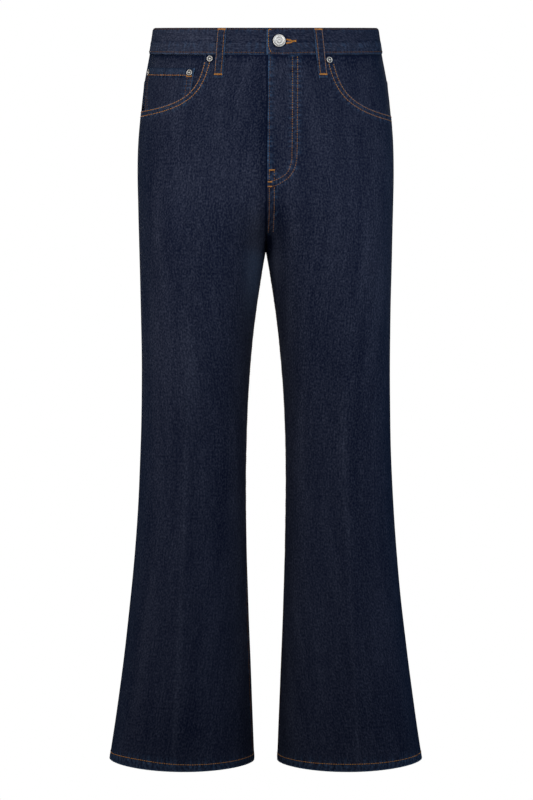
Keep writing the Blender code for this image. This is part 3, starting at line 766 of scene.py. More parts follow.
def meshOf(name, shape):  # and the bmesh is freed
    mesh = bpy.data.meshes.new(name)
    shape.to_mesh(mesh)
    shape.free()
    return mesh


def linked(name, mesh):
    piece = bpy.data.objects.new(name, mesh)
    bpy.context.scene.collection.objects.link(piece)
    return piece


def nodeOf(name):  # backPocketLeft stands for back_pocket_left, but two pieces have other names
    others = {"waistbandCloth": "waistband", "tackButton": "button"}
    return others.get(name, "".join("_" + letter.lower() if letter.isupper() else letter for letter in name))


grainContrast = {"above": 0.43, "below": 0.35, "from": 0.35, "over": 0.4, "withTone": 0.3}


def dyeAndPaintedLight(angle, drop, points, wear, tone):  # the attributes that the denim reads, with painted shade at the sides and painted light on the right inner thigh
    atSide = bell(outerAt(drop) - np.abs(points[..., 0]), sidePaintedShade["width"])
    x, thighDrop, halfWidth, halfLength, amount = thighPaintedLight
    onThigh = bell(-points[..., 0] - x, halfWidth) * bell(drop - thighDrop, halfLength)
    onThigh = onThigh * (angle > 0) * ease((drop - 0.295) / 0.02)
    toned = tone + sidePaintedShade["tone"] * atSide
    look = grainContrast
    contrast = look["above"] + (look["below"] - look["above"]) * ease((drop - look["from"]) / look["over"])
    return {
        "wear": wear + sidePaintedShade["wear"] * atSide + amount * onThigh,
        "tone": toned,
        "contrast": contrast + look["withTone"] * np.clip(toned, 0, 1),
    }


cloths = {}


def makeCloth(
    name, side, angle, drop, uv, lift=0.0, wear=0.0, ridge=0.0, tone=0.0, puckerWear=0.22, wall=form["wall"], bevel=0.0
):
    side, angle, drop, lift = np.broadcast_arrays(side, angle, drop, lift)
    rows, columns = drop.shape
    points, normals = skin(side, angle, drop, lift), outward(side, angle, drop)
    moved, shown = (a.reshape(rows, columns) for a in pulledIn(points.reshape(-1, 3), lines.get(name, [])))
    points = points + (moved + ridge)[..., None] * normals
    attributes = dyeAndPaintedLight(angle, drop, points, wear + puckerWear * shown, tone + dyeAndPaintedLightTone(side, angle, drop, points))

    grid = bmesh.new()
    bmesh.ops.create_grid(grid, x_segments=columns - 1, y_segments=rows - 1, size=1.0)
    mesh = meshOf(name, grid)
    flat = np.empty(len(mesh.vertices) * 3)
    mesh.vertices.foreach_get("co", flat)
    flat = flat.reshape(-1, 3)
    i = np.rint((flat[:, 0] + 1) / 2 * (columns - 1)).astype(int)
    k = np.rint((flat[:, 1] + 1) / 2 * (rows - 1)).astype(int)
    mesh.vertices.foreach_set("co", points[k, i].ravel())
    corner = np.empty(len(mesh.loops), dtype=np.int32)
    mesh.loops.foreach_get("vertex_index", corner)
    layer = mesh.uv_layers.new(name="cloth")
    layer.data.foreach_set("uv", np.stack(uv, axis=-1)[k[corner], i[corner]].ravel())
    for attribute, values in attributes.items():
        mesh.attributes.new(attribute, "FLOAT", "POINT").data.foreach_set("value", values[k, i])
    mk, mi = rows // 2, columns // 2
    turned = np.cross(points[mk, mi + 1] - points[mk, mi], points[mk + 1, mi] - points[mk, mi])
    if np.dot(turned, normals[mk, mi]) < 0:
        mesh.flip_normals()
    for material in (indigoDenim, denimReverse):
        mesh.materials.append(material)
    mesh.shade_smooth()

    piece = linked(name, mesh)
    thick = piece.modifiers.new("Thickness", "SOLIDIFY")
    thick.thickness = wall
    thick.offset = -1
    thick.material_offset = 1
    if bevel:
        rounded = piece.modifiers.new("Rounding", "BEVEL")
        rounded.width = bevel
        rounded.segments = 3
        rounded.angle_limit = math.radians(60)
    solid = bpy.data.meshes.new_from_object(piece.evaluated_get(bpy.context.evaluated_depsgraph_get()))
    piece.modifiers.clear()
    piece.data = solid
    bpy.data.meshes.remove(mesh)
    solid.name = name
    solid.set_sharp_from_angle(angle=math.radians(48))
    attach(piece, "root")
    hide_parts(nodeOf(name))
    cloths[name] = piece


hemLook = {
    "height": 0.014,
    "rows": 10,
    "wear": 0.55,
    "ropeReach": 0.0125,
    "ropeHeight": 0.00036,
    "ropePitch": 0.0066,
    "ropeSlant": 0.55,
    "ropeWearAndShade": (0.04, 0.2, 0.3),  # wear all over, wear on the ridges, darkness between them, which is unfaded dye and painted shade
}


def levelsDown(look):
    t = np.linspace(0, 1, look["bodyRows"] + 1)
    body = form["crotchStart"] + (1 - (1 - t) ** 1.6) * (form["crotch"] - form["crotchStart"])
    t = np.linspace(0, 1, look["legRows"] + 1)[1:]
    hemTop = form["hem"] - hemLook["height"]
    leg = form["crotch"] + t**1.3 * (hemTop - form["crotch"])
    return np.concatenate((body, leg, np.linspace(hemTop, form["hem"], hemLook["rows"] + 1)[1:]))


def panelGrid(look, angleIn, topAngle, topDrop):  # down to the hips by each column's own way, then by levels
    hipDrop = np.full(topDrop.shape, form["crotchStart"])
    down = np.linspace(0, 1, look["hipRows"] + 1)[:-1, None]
    levels = levelsDown(look)[:, None] * np.ones(topDrop.shape)
    legAngle = angleIn(levels)
    angle = np.vstack((topAngle + (angleIn(hipDrop) - topAngle) * down, legAngle))
    return angle, np.vstack((topDrop + (hipDrop - topDrop) * down, hemDrop(levels, legAngle)))


def hemWork(points, u):  # the wear, height and darkness of the slanting ridges of a turned-up hem; the darkness between them is unfaded dye and painted shade
    fromHem = lengthsFrom(points, 0, isEnd=True)
    window = ease((hemLook["ropeReach"] - fromHem) / 0.004)
    slanting = 2 * np.pi * (u + hemLook["ropeSlant"] * fromHem) / hemLook["ropePitch"]
    rope = window * np.sin(slanting + 2.0 * unevenSewing(points))
    least, onRidges, between = hemLook["ropeWearAndShade"]
    wear = hemLook["wear"] * bell(fromHem, 0.0012) + window * (least + onRidges * np.clip(rope, 0, 1))
    return wear, hemLook["ropeHeight"] * rope, -between * window * np.clip(-rope, 0, 1)


def spread(start, middle, end, share):  # with one of the columns on the crease
    return np.where(share <= 0.5, start + (middle - start) * share * 2, middle + (end - middle) * (share * 2 - 1))


def creaseAngle(side, drop):
    top, bottom = form["pressedCrease"]
    return angleForX(side, drop, top + (bottom - top) * drop / form["hem"])


frontPanel = {
    "columns": 112,
    "mouthShare": 12 / 18,  # of the columns, those that start on the pocket's edge
    "hipRows": 62,
    "bodyRows": 46,
    "legRows": 136,
    "underlap": 0.0052,  # the right front runs on under the fly
    "edgeWear": 0.25,
    "flyWear": (0.85, 0.03),  # on the closing edge, and on the strip beside it
    "flyWidth": 0.043,
    "flyHeight": 0.0003,
    "flyShade": 1.1,  # on the right front, along the closing edge
    "puckerWear": 0.42,
}


def patchy(points, least=0.15):  # from least to 1, as wear comes and goes along an edge
    return np.clip(0.62 + 0.55 * unevenSewing(points), least, 1.0)


def paintedShadowUnderBand(below):  # painted shade: the dark line under the waistband's edge, and its soft shadow
    return -0.9 * bell(below - 0.0006, 0.0016) - 0.18 * bell(below - 0.004, 0.004)


def flyEnd(side, drop):
    if side == left:
        return endAngle(side, drop, True)
    under = frontPanel["underlap"] * (1 - ease((drop - 0.195) / 0.045))
    return endAngle(side, drop, True, form["seamOpen"] / 2 - under)


def makeFront(side):
    look = frontPanel
    share = np.linspace(0, 1, look["columns"] + 1)
    reach, depth, squareness = mouths[side]
    bend = np.pi / 2 * (1 - np.clip(share / look["mouthShare"], 0, 1))
    across, down = np.maximum(np.cos(bend), 0), np.sin(bend)
    out = roundCorner(across, down, squareness)
    topDrop = belowBand + depth * down * out
    topAngle = np.maximum(angleAt(side, topDrop, reach * across * out), seamAngle(topDrop, True))
    rest = np.clip((share - look["mouthShare"]) / (1 - look["mouthShare"]), 0, 1)
    last = flyEnd(side, np.full(1, belowBand))[0]
    topAngle = np.where(rest > 0, topAngle + (last - topAngle) * rest, topAngle)

    def angleIn(drop):
        return spread(seamAngle(drop, True), creaseAngle(side, drop), flyEnd(side, drop), share)

    angle, drop = panelGrid(look, angleIn, topAngle, topDrop)
    if side == left:  # the closing edge is kept straight
        angle[:, -1] = flyEnd(side, drop[:, -1])
    points = skin(side, angle, drop)
    u = arcOf(side, angle, drop, True)
    wear, ridge, tone = hemWork(points, u)
    fromTop, onMouth = lengthsFrom(points, 0), share <= look["mouthShare"]
    wear = wear + look["edgeWear"] * onMouth * bell(fromTop, 0.0011) + 0.1 * bell(lengthsFrom(points, 1), 0.002)
    tone = tone + paintedShadowUnderBand(fromTop) * ~onMouth
    if side == right:
        atEdge = bell(points[..., 0] - flyXAt(drop) + 0.0008, 0.0016)
        tone = tone - look["flyShade"] * atEdge * ease((0.29 - drop) / 0.02)
    else:
        fromFly, closed = lengthsFrom(points, 1, isEnd=True), ease((0.224 - drop) / 0.006)
        onEdge, onStrip = look["flyWear"]
        wear = wear + onEdge * closed * bell(fromFly, 0.0012) * patchy(points, 0.35)
        wear = wear + onStrip * closed * bell(fromFly - 0.004, 0.004) * patchy(points, 0.0)
        ridge = ridge + look["flyHeight"] * closed * ease((look["flyWidth"] - fromFly) / 0.004)
    uv = (u, -drop + 0.37 * side)
    name = "front" + sideNames[side]
    makeCloth(name, side, angle, drop, uv, wear=wear, ridge=ridge, tone=tone, puckerWear=look["puckerWear"])


backPanel = {
    "columns": 84,
    "hipRows": 26,
    "bodyRows": 38,
    "legRows": 112,
    "seamHeight": 0.0005,  # over the turnings of a lapped seam
    "seamWidth": 0.0088,
    "seamWear": (0.5, 0.4),  # along the yoke and in the middle
    "puckerWear": 0.35,
}


def seamRidge(distance):
    return backPanel["seamHeight"] * ease((backPanel["seamWidth"] - distance) / 0.002)


def makeBack(side):
    share = np.linspace(0, 1, backPanel["columns"] + 1)

    def angleIn(drop):
        end = endAngle(side, drop, False)
        return -spread(seamAngle(drop, False), end / 2, end, share)

    topAngle = angleIn(np.full(share.shape, form["crotchStart"]))
    angle, drop = panelGrid(backPanel, angleIn, topAngle, yokeDrop(topAngle) + form["seamOpen"] / 2)
    points = skin(side, angle, drop)
    u = arcOf(side, angle, drop, False)
    wear, ridge, tone = hemWork(points, u)
    fromTop, fromMiddle = lengthsFrom(points, 0), lengthsFrom(points, 1, isEnd=True)
    ridge = ridge + seamRidge(fromTop)
    alongYoke, inMiddle = backPanel["seamWear"]
    wear = wear + alongYoke * bell(fromTop, 0.001) * patchy(points)
    if side == left:
        inSeat = drop < form["crotch"]
        ridge = ridge + seamRidge(fromMiddle) * inSeat * ease((0.298 - drop) / 0.02)
        wear = wear + inMiddle * bell(fromMiddle, 0.001) * inSeat * patchy(points)
    uv = (u + 0.61, -drop + 0.29 * side)
    name = "back" + sideNames[side]
    makeCloth(name, side, angle, drop, uv, 0.0, wear, ridge, tone, puckerWear=backPanel["puckerWear"])


def makeYoke(side):
    share, down = gridShares(84, 24)
    top = np.full(share.shape, form["bandHeight"])
    end = endAngle(side, top, False)
    topAngle = -spread(seamAngle(top, False), end / 2, end, share)
    drop = belowBand + (yokeDrop(topAngle) - form["seamOpen"] / 2 - belowBand) * down
    angle = topAngle * np.ones(down.shape)
    ridge = seamRidge(lengthsFrom(skin(side, angle, drop), 1, isEnd=True)) if side == left else 0.0
    uv = (arcOf(side, angle, drop, False) + 1.3, -drop + 0.43 * side)
    makeCloth("yoke" + sideNames[side], side, angle, drop, uv, ridge=ridge, tone=paintedShadowUnderBand(drop - belowBand))


facing = {"margin": 0.016, "sewnReach": 0.014}  # past the mouth, and where it comes up into the outseam


def makeFacing(side):
    reach, depth, _ = mouths[side]
    share, down = gridShares(60, 40)
    drop = belowBand + (depth + facing["margin"]) * down * np.ones(share.shape)
    distance = form["seamGap"] + (reach + facing["margin"] - form["seamGap"]) * share * np.ones(down.shape)
    angle = angleAt(side, drop, distance)
    atSeam = (1 - ease(distance / facing["sewnReach"])) * ease((belowBand + depth - 0.004 - drop) / 0.01)
    lift = (-1 if side == left else -2) * form["layer"] * (1 - atSeam)
    uv = (distance + 2.1, -drop + 0.21 * side)
    makeCloth("pocketFacing" + sideNames[side], side, angle, drop, uv, lift, tone=paintedShadowUnderBand(drop - belowBand))


def makeCoinPocket():
    share, down = gridShares(56, 44)
    drop = coin["top"] + (coin["bottom"] - coin["top"]) * down * np.ones(share.shape)
    (outerTop, innerTop), (outerLow, innerLow) = coin["edges"]
    outer, inner = outerTop + (outerLow - outerTop) * down, innerTop + (innerLow - innerTop) * down
    distance = outer + (inner - outer) * share
    angle = angleAt(right, drop, distance)
    fromTop = drop - coin["top"]
    edges = np.minimum(distance - outer, inner - distance)
    points = skin(right, angle, drop)
    worn, shade = coin["wear"], coin["shade"]
    wear = worn["top"] * bell(fromTop, 0.0012) + worn["sides"] * bell(edges, 0.001) * patchy(points)
    wear = wear + worn["hem"] * bell(fromTop - 0.004, 0.0028) * patchy(points, 0.0)
    wear = wear + worn["corner"] * bell(inner - distance, 0.0012) * bell(fromTop, 0.005)
    tone = -shade["hem"] * bell(fromTop - coin["hem"] - 0.0017, 0.0009) - shade["top"] * bell(fromTop, 0.0008)
    ridge = coin["hemHeight"] * ease((coin["hem"] + 0.001 - fromTop) / 0.002)
    look = {"wear": wear, "ridge": ridge, "tone": tone, "puckerWear": backPanel["puckerWear"]}
    makeCloth("coinPocket", right, angle, drop, (distance + 3.3, -drop), -form["layer"], **look)


def makeBackPocket(side):
    look = backPocket
    _, down = gridShares(68, 64)
    across = np.linspace(-1, 1, 69) * np.ones(down.shape)
    drop = look["top"] + down * (look["height"] - look["point"] * np.abs(across))
    top, bottom = look["halfWidths"]
    half = top + (bottom - top) * down
    distance = look["middle"] + across * half
    angle = angleAt(side, drop, distance, isFront=False, fromMiddle=True)
    fromTop = drop - look["top"]
    edges = np.minimum((1 - np.abs(across)) * half, (1 - down) * look["height"])
    worn = patchy(skin(side, angle, drop))
    wear = look["wear"] * bell(fromTop, 0.0013) * worn + look["wear"] * bell(edges, 0.0012) * worn
    ridge = look["hemHeight"] * ease((look["hem"] + 0.001 - fromTop) / 0.002)
    uv = (distance + 4.1, -drop + 0.17 * side)
    name = "backPocket" + sideNames[side]
    makeCloth(name, side, angle, drop, uv, form["layer"], wear, ridge, puckerWear=backPanel["puckerWear"])


shield = {"x": -0.006, "width": 0.05, "bottom": 0.2, "behind": 0.0062}


def makeShield():
    share, down = gridShares(12, 40)
    drop = belowBand + (shield["bottom"] - belowBand) * down * np.ones(share.shape)
    x = shield["x"] + shield["width"] * share * np.ones(down.shape)
    angle = angleForX(left, drop, x)
    lift = -shield["behind"] - relief(left, angle, drop, bareSkin(left, angle, drop))
    makeCloth("flyShield", left, angle, drop, (x + 5.2, -drop), lift)


for make in (makeFront, makeBack, makeYoke):
    for side in (right, left):
        make(side)
for side in (left, right):
    makeFacing(side)
makeCoinPocket()
for side in (right, left):
    makeBackPocket(side)
makeShield()
print("panels made")

buttonhole = {
    # x and drop in millimetres
    "bars": (((27.2, 14.9), (33.4, 16.5)), ((26.6, 20.1), (34.0, 18.5)), ((32.8, 17.4), (38.9, 16.9))),
    "end": ((38.7, 15.6), (38.7, 18.1)),
    "widths": (0.0028, 0.0028, 0.0034, 0.0026, 0.0016),  # of the bars, the end and the tack in the corner
    "spots": (  # x, drop, reach in metres, wear, tone. The worn cloth, then the painted shadow in the open slit
        (29.9, 17.5, 0.0018, 0.7, 2.2),
        (27.1, 17.1, 0.0011, 0.0, -1.8),
    ),
}


def makeWaistband():
    underEnd = np.linspace(band["innerEnd"], band["sink"][1], 61)
    turn = np.concatenate((underEnd, np.linspace(band["sink"][1], band["outerEnd"], 641)[1:]))
    down = np.concatenate(((0.0, 0.015, 0.035, 0.06, 0.09), np.linspace(0.125, 1, 22)))[:, None]
    drop = ((form["bandHeight"] + band["above"]) * down - band["above"]) * np.ones(turn.shape)
    side, angle = (a * np.ones(drop.shape) for a in around(turn))
    lift = bandLift(turn) * np.ones(drop.shape)
    points = skin(side, angle, drop, lift)
    fromTop, fromSeam = lengthsFrom(points, 0), lengthsFrom(points, 0, isEnd=True)
    fromStart, fromEnd = lengthsFrom(points, 1), lengthsFrom(points, 1, isEnd=True)
    lower = ease((band["groove"] + 0.001 - fromSeam) / 0.003) * ease(fromSeam / 0.0015)
    pitch, slant, rippleHeight = band["ripples"]
    ripples = np.sin(2 * np.pi * (fromStart + slant * fromSeam) / pitch + 2.6 * unevenSewing(points))
    grooved = bell(fromSeam - band["groove"] - 0.0006 * unevenSewing(points), 0.001) * patchy(points, 0.3)
    height, lean = band["roll"]
    ridge = rippleHeight * ripples * lower + band["lowerHeight"] * lower - band["grooveDepth"] * grooved
    ridge = ridge - lean * np.clip(1 - fromTop / height, 0, 1) ** 2
    streaks = bell(fromSeam - 0.0125, 0.0042) * np.clip(0.25 + ripples, 0, 1)
    wear = 0.1 * bell(fromTop, 0.0013) + 1.0 * bell(fromEnd, 0.0014) + 0.26 * streaks * patchy(points, 0.2)
    wear = wear + 0.55 * bell(fromSeam - 0.0003, 0.0007) * patchy(points, 0.2)
    # painted shade along the groove and in the ripples' troughs
    tone = -0.75 * grooved + 0.1 * lower - 0.35 * bell(fromSeam - 0.0052, 0.0011) * np.clip(-ripples, 0, 1)
    tone = tone + band["paler"] + 0.3 * ease((turn - 12) / 30) * ease((120 - turn) / 60)  # more on the right
    for x, spotDrop, reach, paler, toneThere in buttonhole["spots"]:
        x, spotDrop = x / 1000, np.array(spotDrop / 1000)
        spot = skin(left, angleAtX(left, spotDrop, x), spotDrop, band["lift"])
        near = bell(np.linalg.norm(points - spot, axis=-1), reach) * (turn > 180)
        wear, tone = wear + paler * near, tone + toneThere * near
    shape = {"wall": band["wall"], "bevel": band["bevel"]}
    makeCloth("waistbandCloth", side, angle, drop, (drop + 6.4, fromStart), lift, wear, ridge, tone, **shape)


makeWaistband()

beltLoop = {
    "loops": {  # degrees round from the front at the upper and lower end, and the rows' ways from the middle
        "FrontRight": ((22.3, 22.5), (0.0049, -0.0033)),
        "SideRight": ((127.0, 127.6), (0.0041, -0.0041)),
        "Back": ((180.0, 180.0), (0.0041, -0.0041)),
        "SideLeft": ((233.0, 232.4), (-0.0041, 0.0041)),
        "FrontLeft": ((335.0, 334.1), (-0.0049, 0.0033)),
    },
    "width": 0.012,
    "wall": 0.0016,
    "bevel": 0.0005,
    "rise": ((0.0, 0.0009), (0.01, 0.0021), (0.021, 0.0024), (0.034, 0.0018), (0.05, 0.0008), (0.0667, 0.0003)),
    "above": 0.0003,
    "crown": 0.00035,  # it stands higher along its middle
    "rowEnds": (0.003, 0.062),
    "tacks": (0.002, 0.0618),
    "tackHalf": 0.0053,
    "tackShift": 0.0004,
    "tackWidth": 0.0027,
}
loopLiftAt = smoothCurve(beltLoop["rise"])


def loopTurn(ends, drop, across):  # across is metres from the loop's middle
    turn = ends[0] + (ends[1] - ends[0]) * drop / beltLoop["rise"][-1][0]
    near, far = skin(*around(turn + 0.5), drop), skin(*around(turn - 0.5), drop)
    return turn + across / np.linalg.norm(near - far, axis=-1)


def makeLoop(name, ends):
    length = beltLoop["rise"][-1][0]
    drop = np.linspace(-beltLoop["above"], length, 61)[:, None] * np.ones(15)
    share = np.linspace(-0.5, 0.5, 15) * np.ones((61, 1))
    side, angle = around(loopTurn(ends, drop, beltLoop["width"] * share))
    crowned = beltLoop["crown"] * (1 - (2 * share) ** 4) - 0.0003
    nearEnd = bell(drop, 0.0016) + bell(length - drop, 0.0016)
    lift = loopLiftAt(drop) + beltLoop["wall"] + crowned - 0.0003 * nearEnd
    wear = 0.95 * bell(1 - np.abs(2 * share), 0.17) * patchy(skin(side, angle, drop), 0.4) + 0.35 * nearEnd
    uv = (beltLoop["width"] * share + 7.7 + ends[0] / 100, -drop)
    makeCloth(name, side, angle, drop, uv, lift, wear, wall=beltLoop["wall"], bevel=beltLoop["bevel"])


for key, (ends, ways) in beltLoop["loops"].items():
    name = "beltLoop" + key
    lines[name] = []
    for across in ways:
        drop = np.linspace(*beltLoop["rowEnds"], 60)
        side, angle = around(loopTurn(ends, drop, across))
        row = inThread("Copper", sewnLine(side, angle, drop, loopLiftAt(drop) + beltLoop["wall"]))
        row["pitch"], row["stitch"] = sewing["loopPitch"], 0.8 * sewing["loopPitch"]
        lines[name].append(row)
    makeLoop(name, ends)
print("cloth made:", len(cloths))


def stitchMatrix(centre, along, normal, length, width, height):
    along = along / np.linalg.norm(along)
    across = np.cross(normal, along)
    across = across / np.linalg.norm(across)
    up = np.cross(along, across)
    turned = np.column_stack((across * width / 2, up * height / 2, along * length / 2))
    made = Matrix(turned.tolist()).to_4x4()
    made.translation = Vector(centre)
    return made


def joined(name, parts, material):
    whole = bmesh.new()
    for part in parts:
        mesh = meshOf("part", part)
        whole.from_mesh(mesh)
        bpy.data.meshes.remove(mesh)
    mesh = meshOf(name, whole)
    mesh.shade_smooth()
    mesh.materials.append(material)
    piece = linked(name, mesh)
    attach(piece, "root")
    return piece


def treeOf(piece):
    shape = bmesh.new()
    shape.from_mesh(piece.data)
    tree = BVHTree.FromBMesh(shape)
    shape.free()
    return tree


def seated(points, normals, tree, above):  # set down on the finished cloth
    put = []
    for point, normal in zip(points, normals):
        hit = tree.ray_cast(Vector(point + 0.004 * normal), Vector(-normal), 0.008)[0]
        put.append(point if hit is None else np.array(hit))
    return np.array(put) + above * normals


def addStitches(part, centres, ways, normals, size):
    for centre, way, normal in zip(centres, ways, normals):
        matrix = stitchMatrix(centre, way, normal, *size)
        bmesh.ops.create_uvsphere(part, u_segments=6, v_segments=4, radius=1.0, matrix=matrix)


def stitched(line, tree):  # one row of topstitching
    part = bmesh.new()
    length = line["along"][-1]
    count = max(int(length / line["pitch"]), 1)
    where = (np.arange(count) + 0.5) * length / count
    side = np.where(np.interp(where, line["along"], line["side"]) > 0, left, right)
    put = []
    for offset in (-0.0004, 0.0004, 0.0):
        angle, drop, lift = (np.interp(where + offset, line["along"], line[key]) for key in ("angle", "drop", "lift"))
        put.append(skin(side, angle, drop, lift))
    normals = outward(side, angle, drop)
    centres = seated(put[2], normals, tree, sewing["seat"])
    narrower = sewing["loopThreadWidth"] if line["pitch"] == sewing["loopPitch"] else 1.0
    size = (line["stitch"], narrower * sewing["threadWidth"], sewing["threadHeight"])
    addStitches(part, centres, put[1] - put[0], normals, size)
    return part


trees = {name: treeOf(piece) for name, piece in cloths.items()}
stitchPieces = {}
for name, rows in lines.items():
    stitchPieces[name] = []
    for dye, material in threads.items():
        parts = [stitched(row, trees[name]) for row in rows if row["thread"] == dye]
        if parts:
            pieceName = "stitches" + name[0].upper() + name[1:] + dye
            stitchPieces[name].append(joined(pieceName, parts, material))
print("stitches made:", sum(len(pieces) for pieces in stitchPieces.values()))

tackShape = {
    "pitch": 0.00062,
    "threadWidth": 0.00066,
    "threadHeight": 0.00072,
    "width": 0.0021,
    "seat": 0.0003,
    "lean": 0.22,  # every other stitch leans the other way
}


def barTack(start, end, side, tree, isX=True, lift=0.0, width=tackShape["width"]):  # (x or turn, drop) at each end
    share = np.linspace(0, 1, 60)
    first = start[0] + (end[0] - start[0]) * share
    drop = start[1] + (end[1] - start[1]) * share
    if isX:
        angle = angleAtX(side, drop, first)
    else:
        side, angle = around(first)
    line = sewnLine(side, angle, drop, lift, step=0.0002)
    part = bmesh.new()
    count = max(int(line["along"][-1] / tackShape["pitch"]), 3)
    where = (np.arange(count) + 0.5) * line["along"][-1] / count
    centres = np.stack([np.interp(where, line["along"], line["points"][:, axis]) for axis in range(3)], axis=-1)
    angle, drop = (np.interp(where, line["along"], line[key]) for key in ("angle", "drop"))
    normals = outward(line["side"][0], angle, drop)
    centres = seated(centres, normals, tree, tackShape["seat"])
    run = line["points"][-1] - line["points"][0]
    run = run / np.linalg.norm(run)
    size = (width, tackShape["threadWidth"], tackShape["threadHeight"])
    lean = tackShape["lean"] * np.where(np.arange(count) % 2, 1, -1)
    addStitches(part, centres, np.cross(normals, run) + lean[:, None] * run, normals, size)
    return part


for key, (ends, ways) in beltLoop["loops"].items():
    name = "beltLoop" + key
    parts = []
    shift = math.copysign(beltLoop["tackShift"], ways[0])
    for drop in beltLoop["tacks"]:
        lift = float(loopLiftAt(drop)) + beltLoop["wall"]
        start, end = (float(loopTurn(ends, drop, shift + way * beltLoop["tackHalf"])) for way in (-1, 1))
        parts.append(barTack((start, drop), (end, drop), right, trees[name], False, lift, beltLoop["tackWidth"]))
    stitchPieces[name].append(joined("tacks" + name[0].upper() + name[1:], parts, tackThread))

flyTacks = (((4.2, 203.2), (12.0, 203.2)), ((2.6, 218.4), (8.4, 218.4)), ((2.6, 224.2), (8.4, 224.4)))
parts = [barTack(*millimetres(ends), left, trees["frontLeft"]) for ends in flyTacks]
stitchPieces["frontLeft"].append(joined("tacksFly", parts, tackThread))

cornerTack = ((3.6, 1.9), (7.2, 1.9))
parts = []
for ends, width in zip((*buttonhole["bars"], buttonhole["end"], cornerTack), buttonhole["widths"]):
    parts.append(barTack(*millimetres(ends), left, trees["waistbandCloth"], lift=band["lift"], width=width))
stitchPieces["waistbandCloth"].append(joined("buttonholeSewing", parts, tackThread))

coinTack = {"drop": 0.0642, "from": 0.109, "to": 0.1178}
start, end = (angleAt(right, np.array(coinTack["drop"]), np.array(coinTack[key])) for key in ("from", "to"))
turns = [(90 - math.degrees(float(angle)), coinTack["drop"]) for angle in (end, start)]
tack = barTack(*turns, right, trees["coinPocket"], False, -form["layer"], 0.0015)
stitchPieces["coinPocket"].append(joined("tackCoinPocket", [tack], tackThread))
print("tacks made")


fasteningShade = {"shade": 1.1, "reach": 0.0013}


def shadeRoundFastening(clothName, place, radius):  # painted shadow: the cloth is darker round a fastening
    mesh = cloths[clothName].data
    spots = np.empty(len(mesh.vertices) * 3)
    mesh.vertices.foreach_get("co", spots)
    tone = np.empty(len(mesh.vertices))
    values = mesh.attributes["tone"].data
    values.foreach_get("value", tone)
    beyond = np.maximum(np.linalg.norm(spots.reshape(-1, 3) - place, axis=1) - radius, 0)
    values.foreach_set("value", tone - fasteningShade["shade"] * bell(beyond, fasteningShade["reach"]))


def turnedPiece(name, look, profile, steps, place, axis):  # the profile is (radius, height)
    body = bmesh.new()
    made = [body.verts.new((radius, 0.0, height)) for radius, height in profile]
    for start, end in zip(made, made[1:]):
        body.edges.new((start, end))
    whole = {"cent": (0, 0, 0), "axis": (0, 0, 1), "angle": 2 * math.pi, "steps": steps, "use_merge": True}
    bmesh.ops.spin(body, geom=body.verts[:] + body.edges[:], **whole)
    bmesh.ops.remove_doubles(body, verts=body.verts[:], dist=1e-6)
    recess = [(share * look["radius"], dark) for share, dark in look["recess"]]
    dark = [float(np.interp(math.hypot(v.co.x, v.co.y), *zip(*recess))) for v in body.verts]
    bmesh.ops.recalc_face_normals(body, faces=body.faces[:])
    turned = Vector(axis).to_track_quat("Z", "Y").to_matrix().to_4x4()
    turned.translation = Vector(place)
    bmesh.ops.transform(body, matrix=turned, verts=body.verts[:])
    mesh = meshOf(name, body)
    mesh.shade_smooth()
    mesh.set_sharp_from_angle(angle=math.radians(40))
    mesh.attributes.new("recess", "FLOAT", "POINT").data.foreach_set("value", dark)
    mesh.materials.append(nickel)
    piece = linked(name, mesh)
    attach(piece, "root")
    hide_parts(nodeOf(name))


tackButton = {
    "x": 0.0175,
    "drop": 0.0168,
    "radius": 0.0085,
    "cap": 0.0027,
    # shares of the radius, and millimetres below the top
    "face": (
        (0.0, 0.32), (0.08, 0.32), (0.12, 0.4), (0.38, 0.42), (0.42, 0.32), (0.5, 0.32), (0.54, 0.42), (0.76, 0.4),
        (0.81, 0.14), (0.87, 0.0), (0.93, 0.1), (0.98, 0.5), (1.0, 1.1), (0.99, 1.8), (0.95, 2.4), (0.88, 2.7),
    ),
    "recess": (  # shares of the radius, and darkness: the engraved rings, and painted shade round the cap's edge
        (0.0, 0.05), (0.1, 0.4), (0.14, 0.14), (0.36, 0.2), (0.41, 0.5), (0.45, 0.12), (0.5, 0.42), (0.56, 0.05),
        (0.76, 0.14), (0.8, 0.42), (0.84, 0.0), (0.95, 0.0), (1.0, 0.7),
    ),
    "shank": 0.0022,
    "post": 0.0012,
    "back": 0.0045,
}


def makeButton():
    look = tackButton
    drop = np.array(look["drop"])
    angle = angleAtX(left, drop, look["x"])
    place, axis = bareSkin(left, angle, drop), outward(left, angle, drop)
    underCap = band["lift"] + form["seamGap"]
    between = band["lift"] - band["wall"] - form["seamGap"] / 2
    innerFace = band["lift"] - 2 * band["wall"] - form["seamGap"]
    top = underCap + look["cap"]
    profile = [(share * look["radius"], top - below / 1000) for share, below in look["face"]]
    profile += [(look["shank"], height) for height in (underCap, between + form["seamGap"] / 2)]
    profile += [(look["post"], height) for height in (between + form["seamGap"] / 2, innerFace - form["seamGap"])]
    profile += [(look["back"], innerFace - below) for below in (form["seamGap"], 0.0011)]
    profile += [(radius, innerFace - 0.0014) for radius in (0.8 * look["back"], 0.0)]
    shadeRoundFastening("waistbandCloth", place + band["lift"] * axis, look["radius"] - 0.0002)
    turnedPiece("tackButton", look, profile, 56, place, axis)


makeButton()

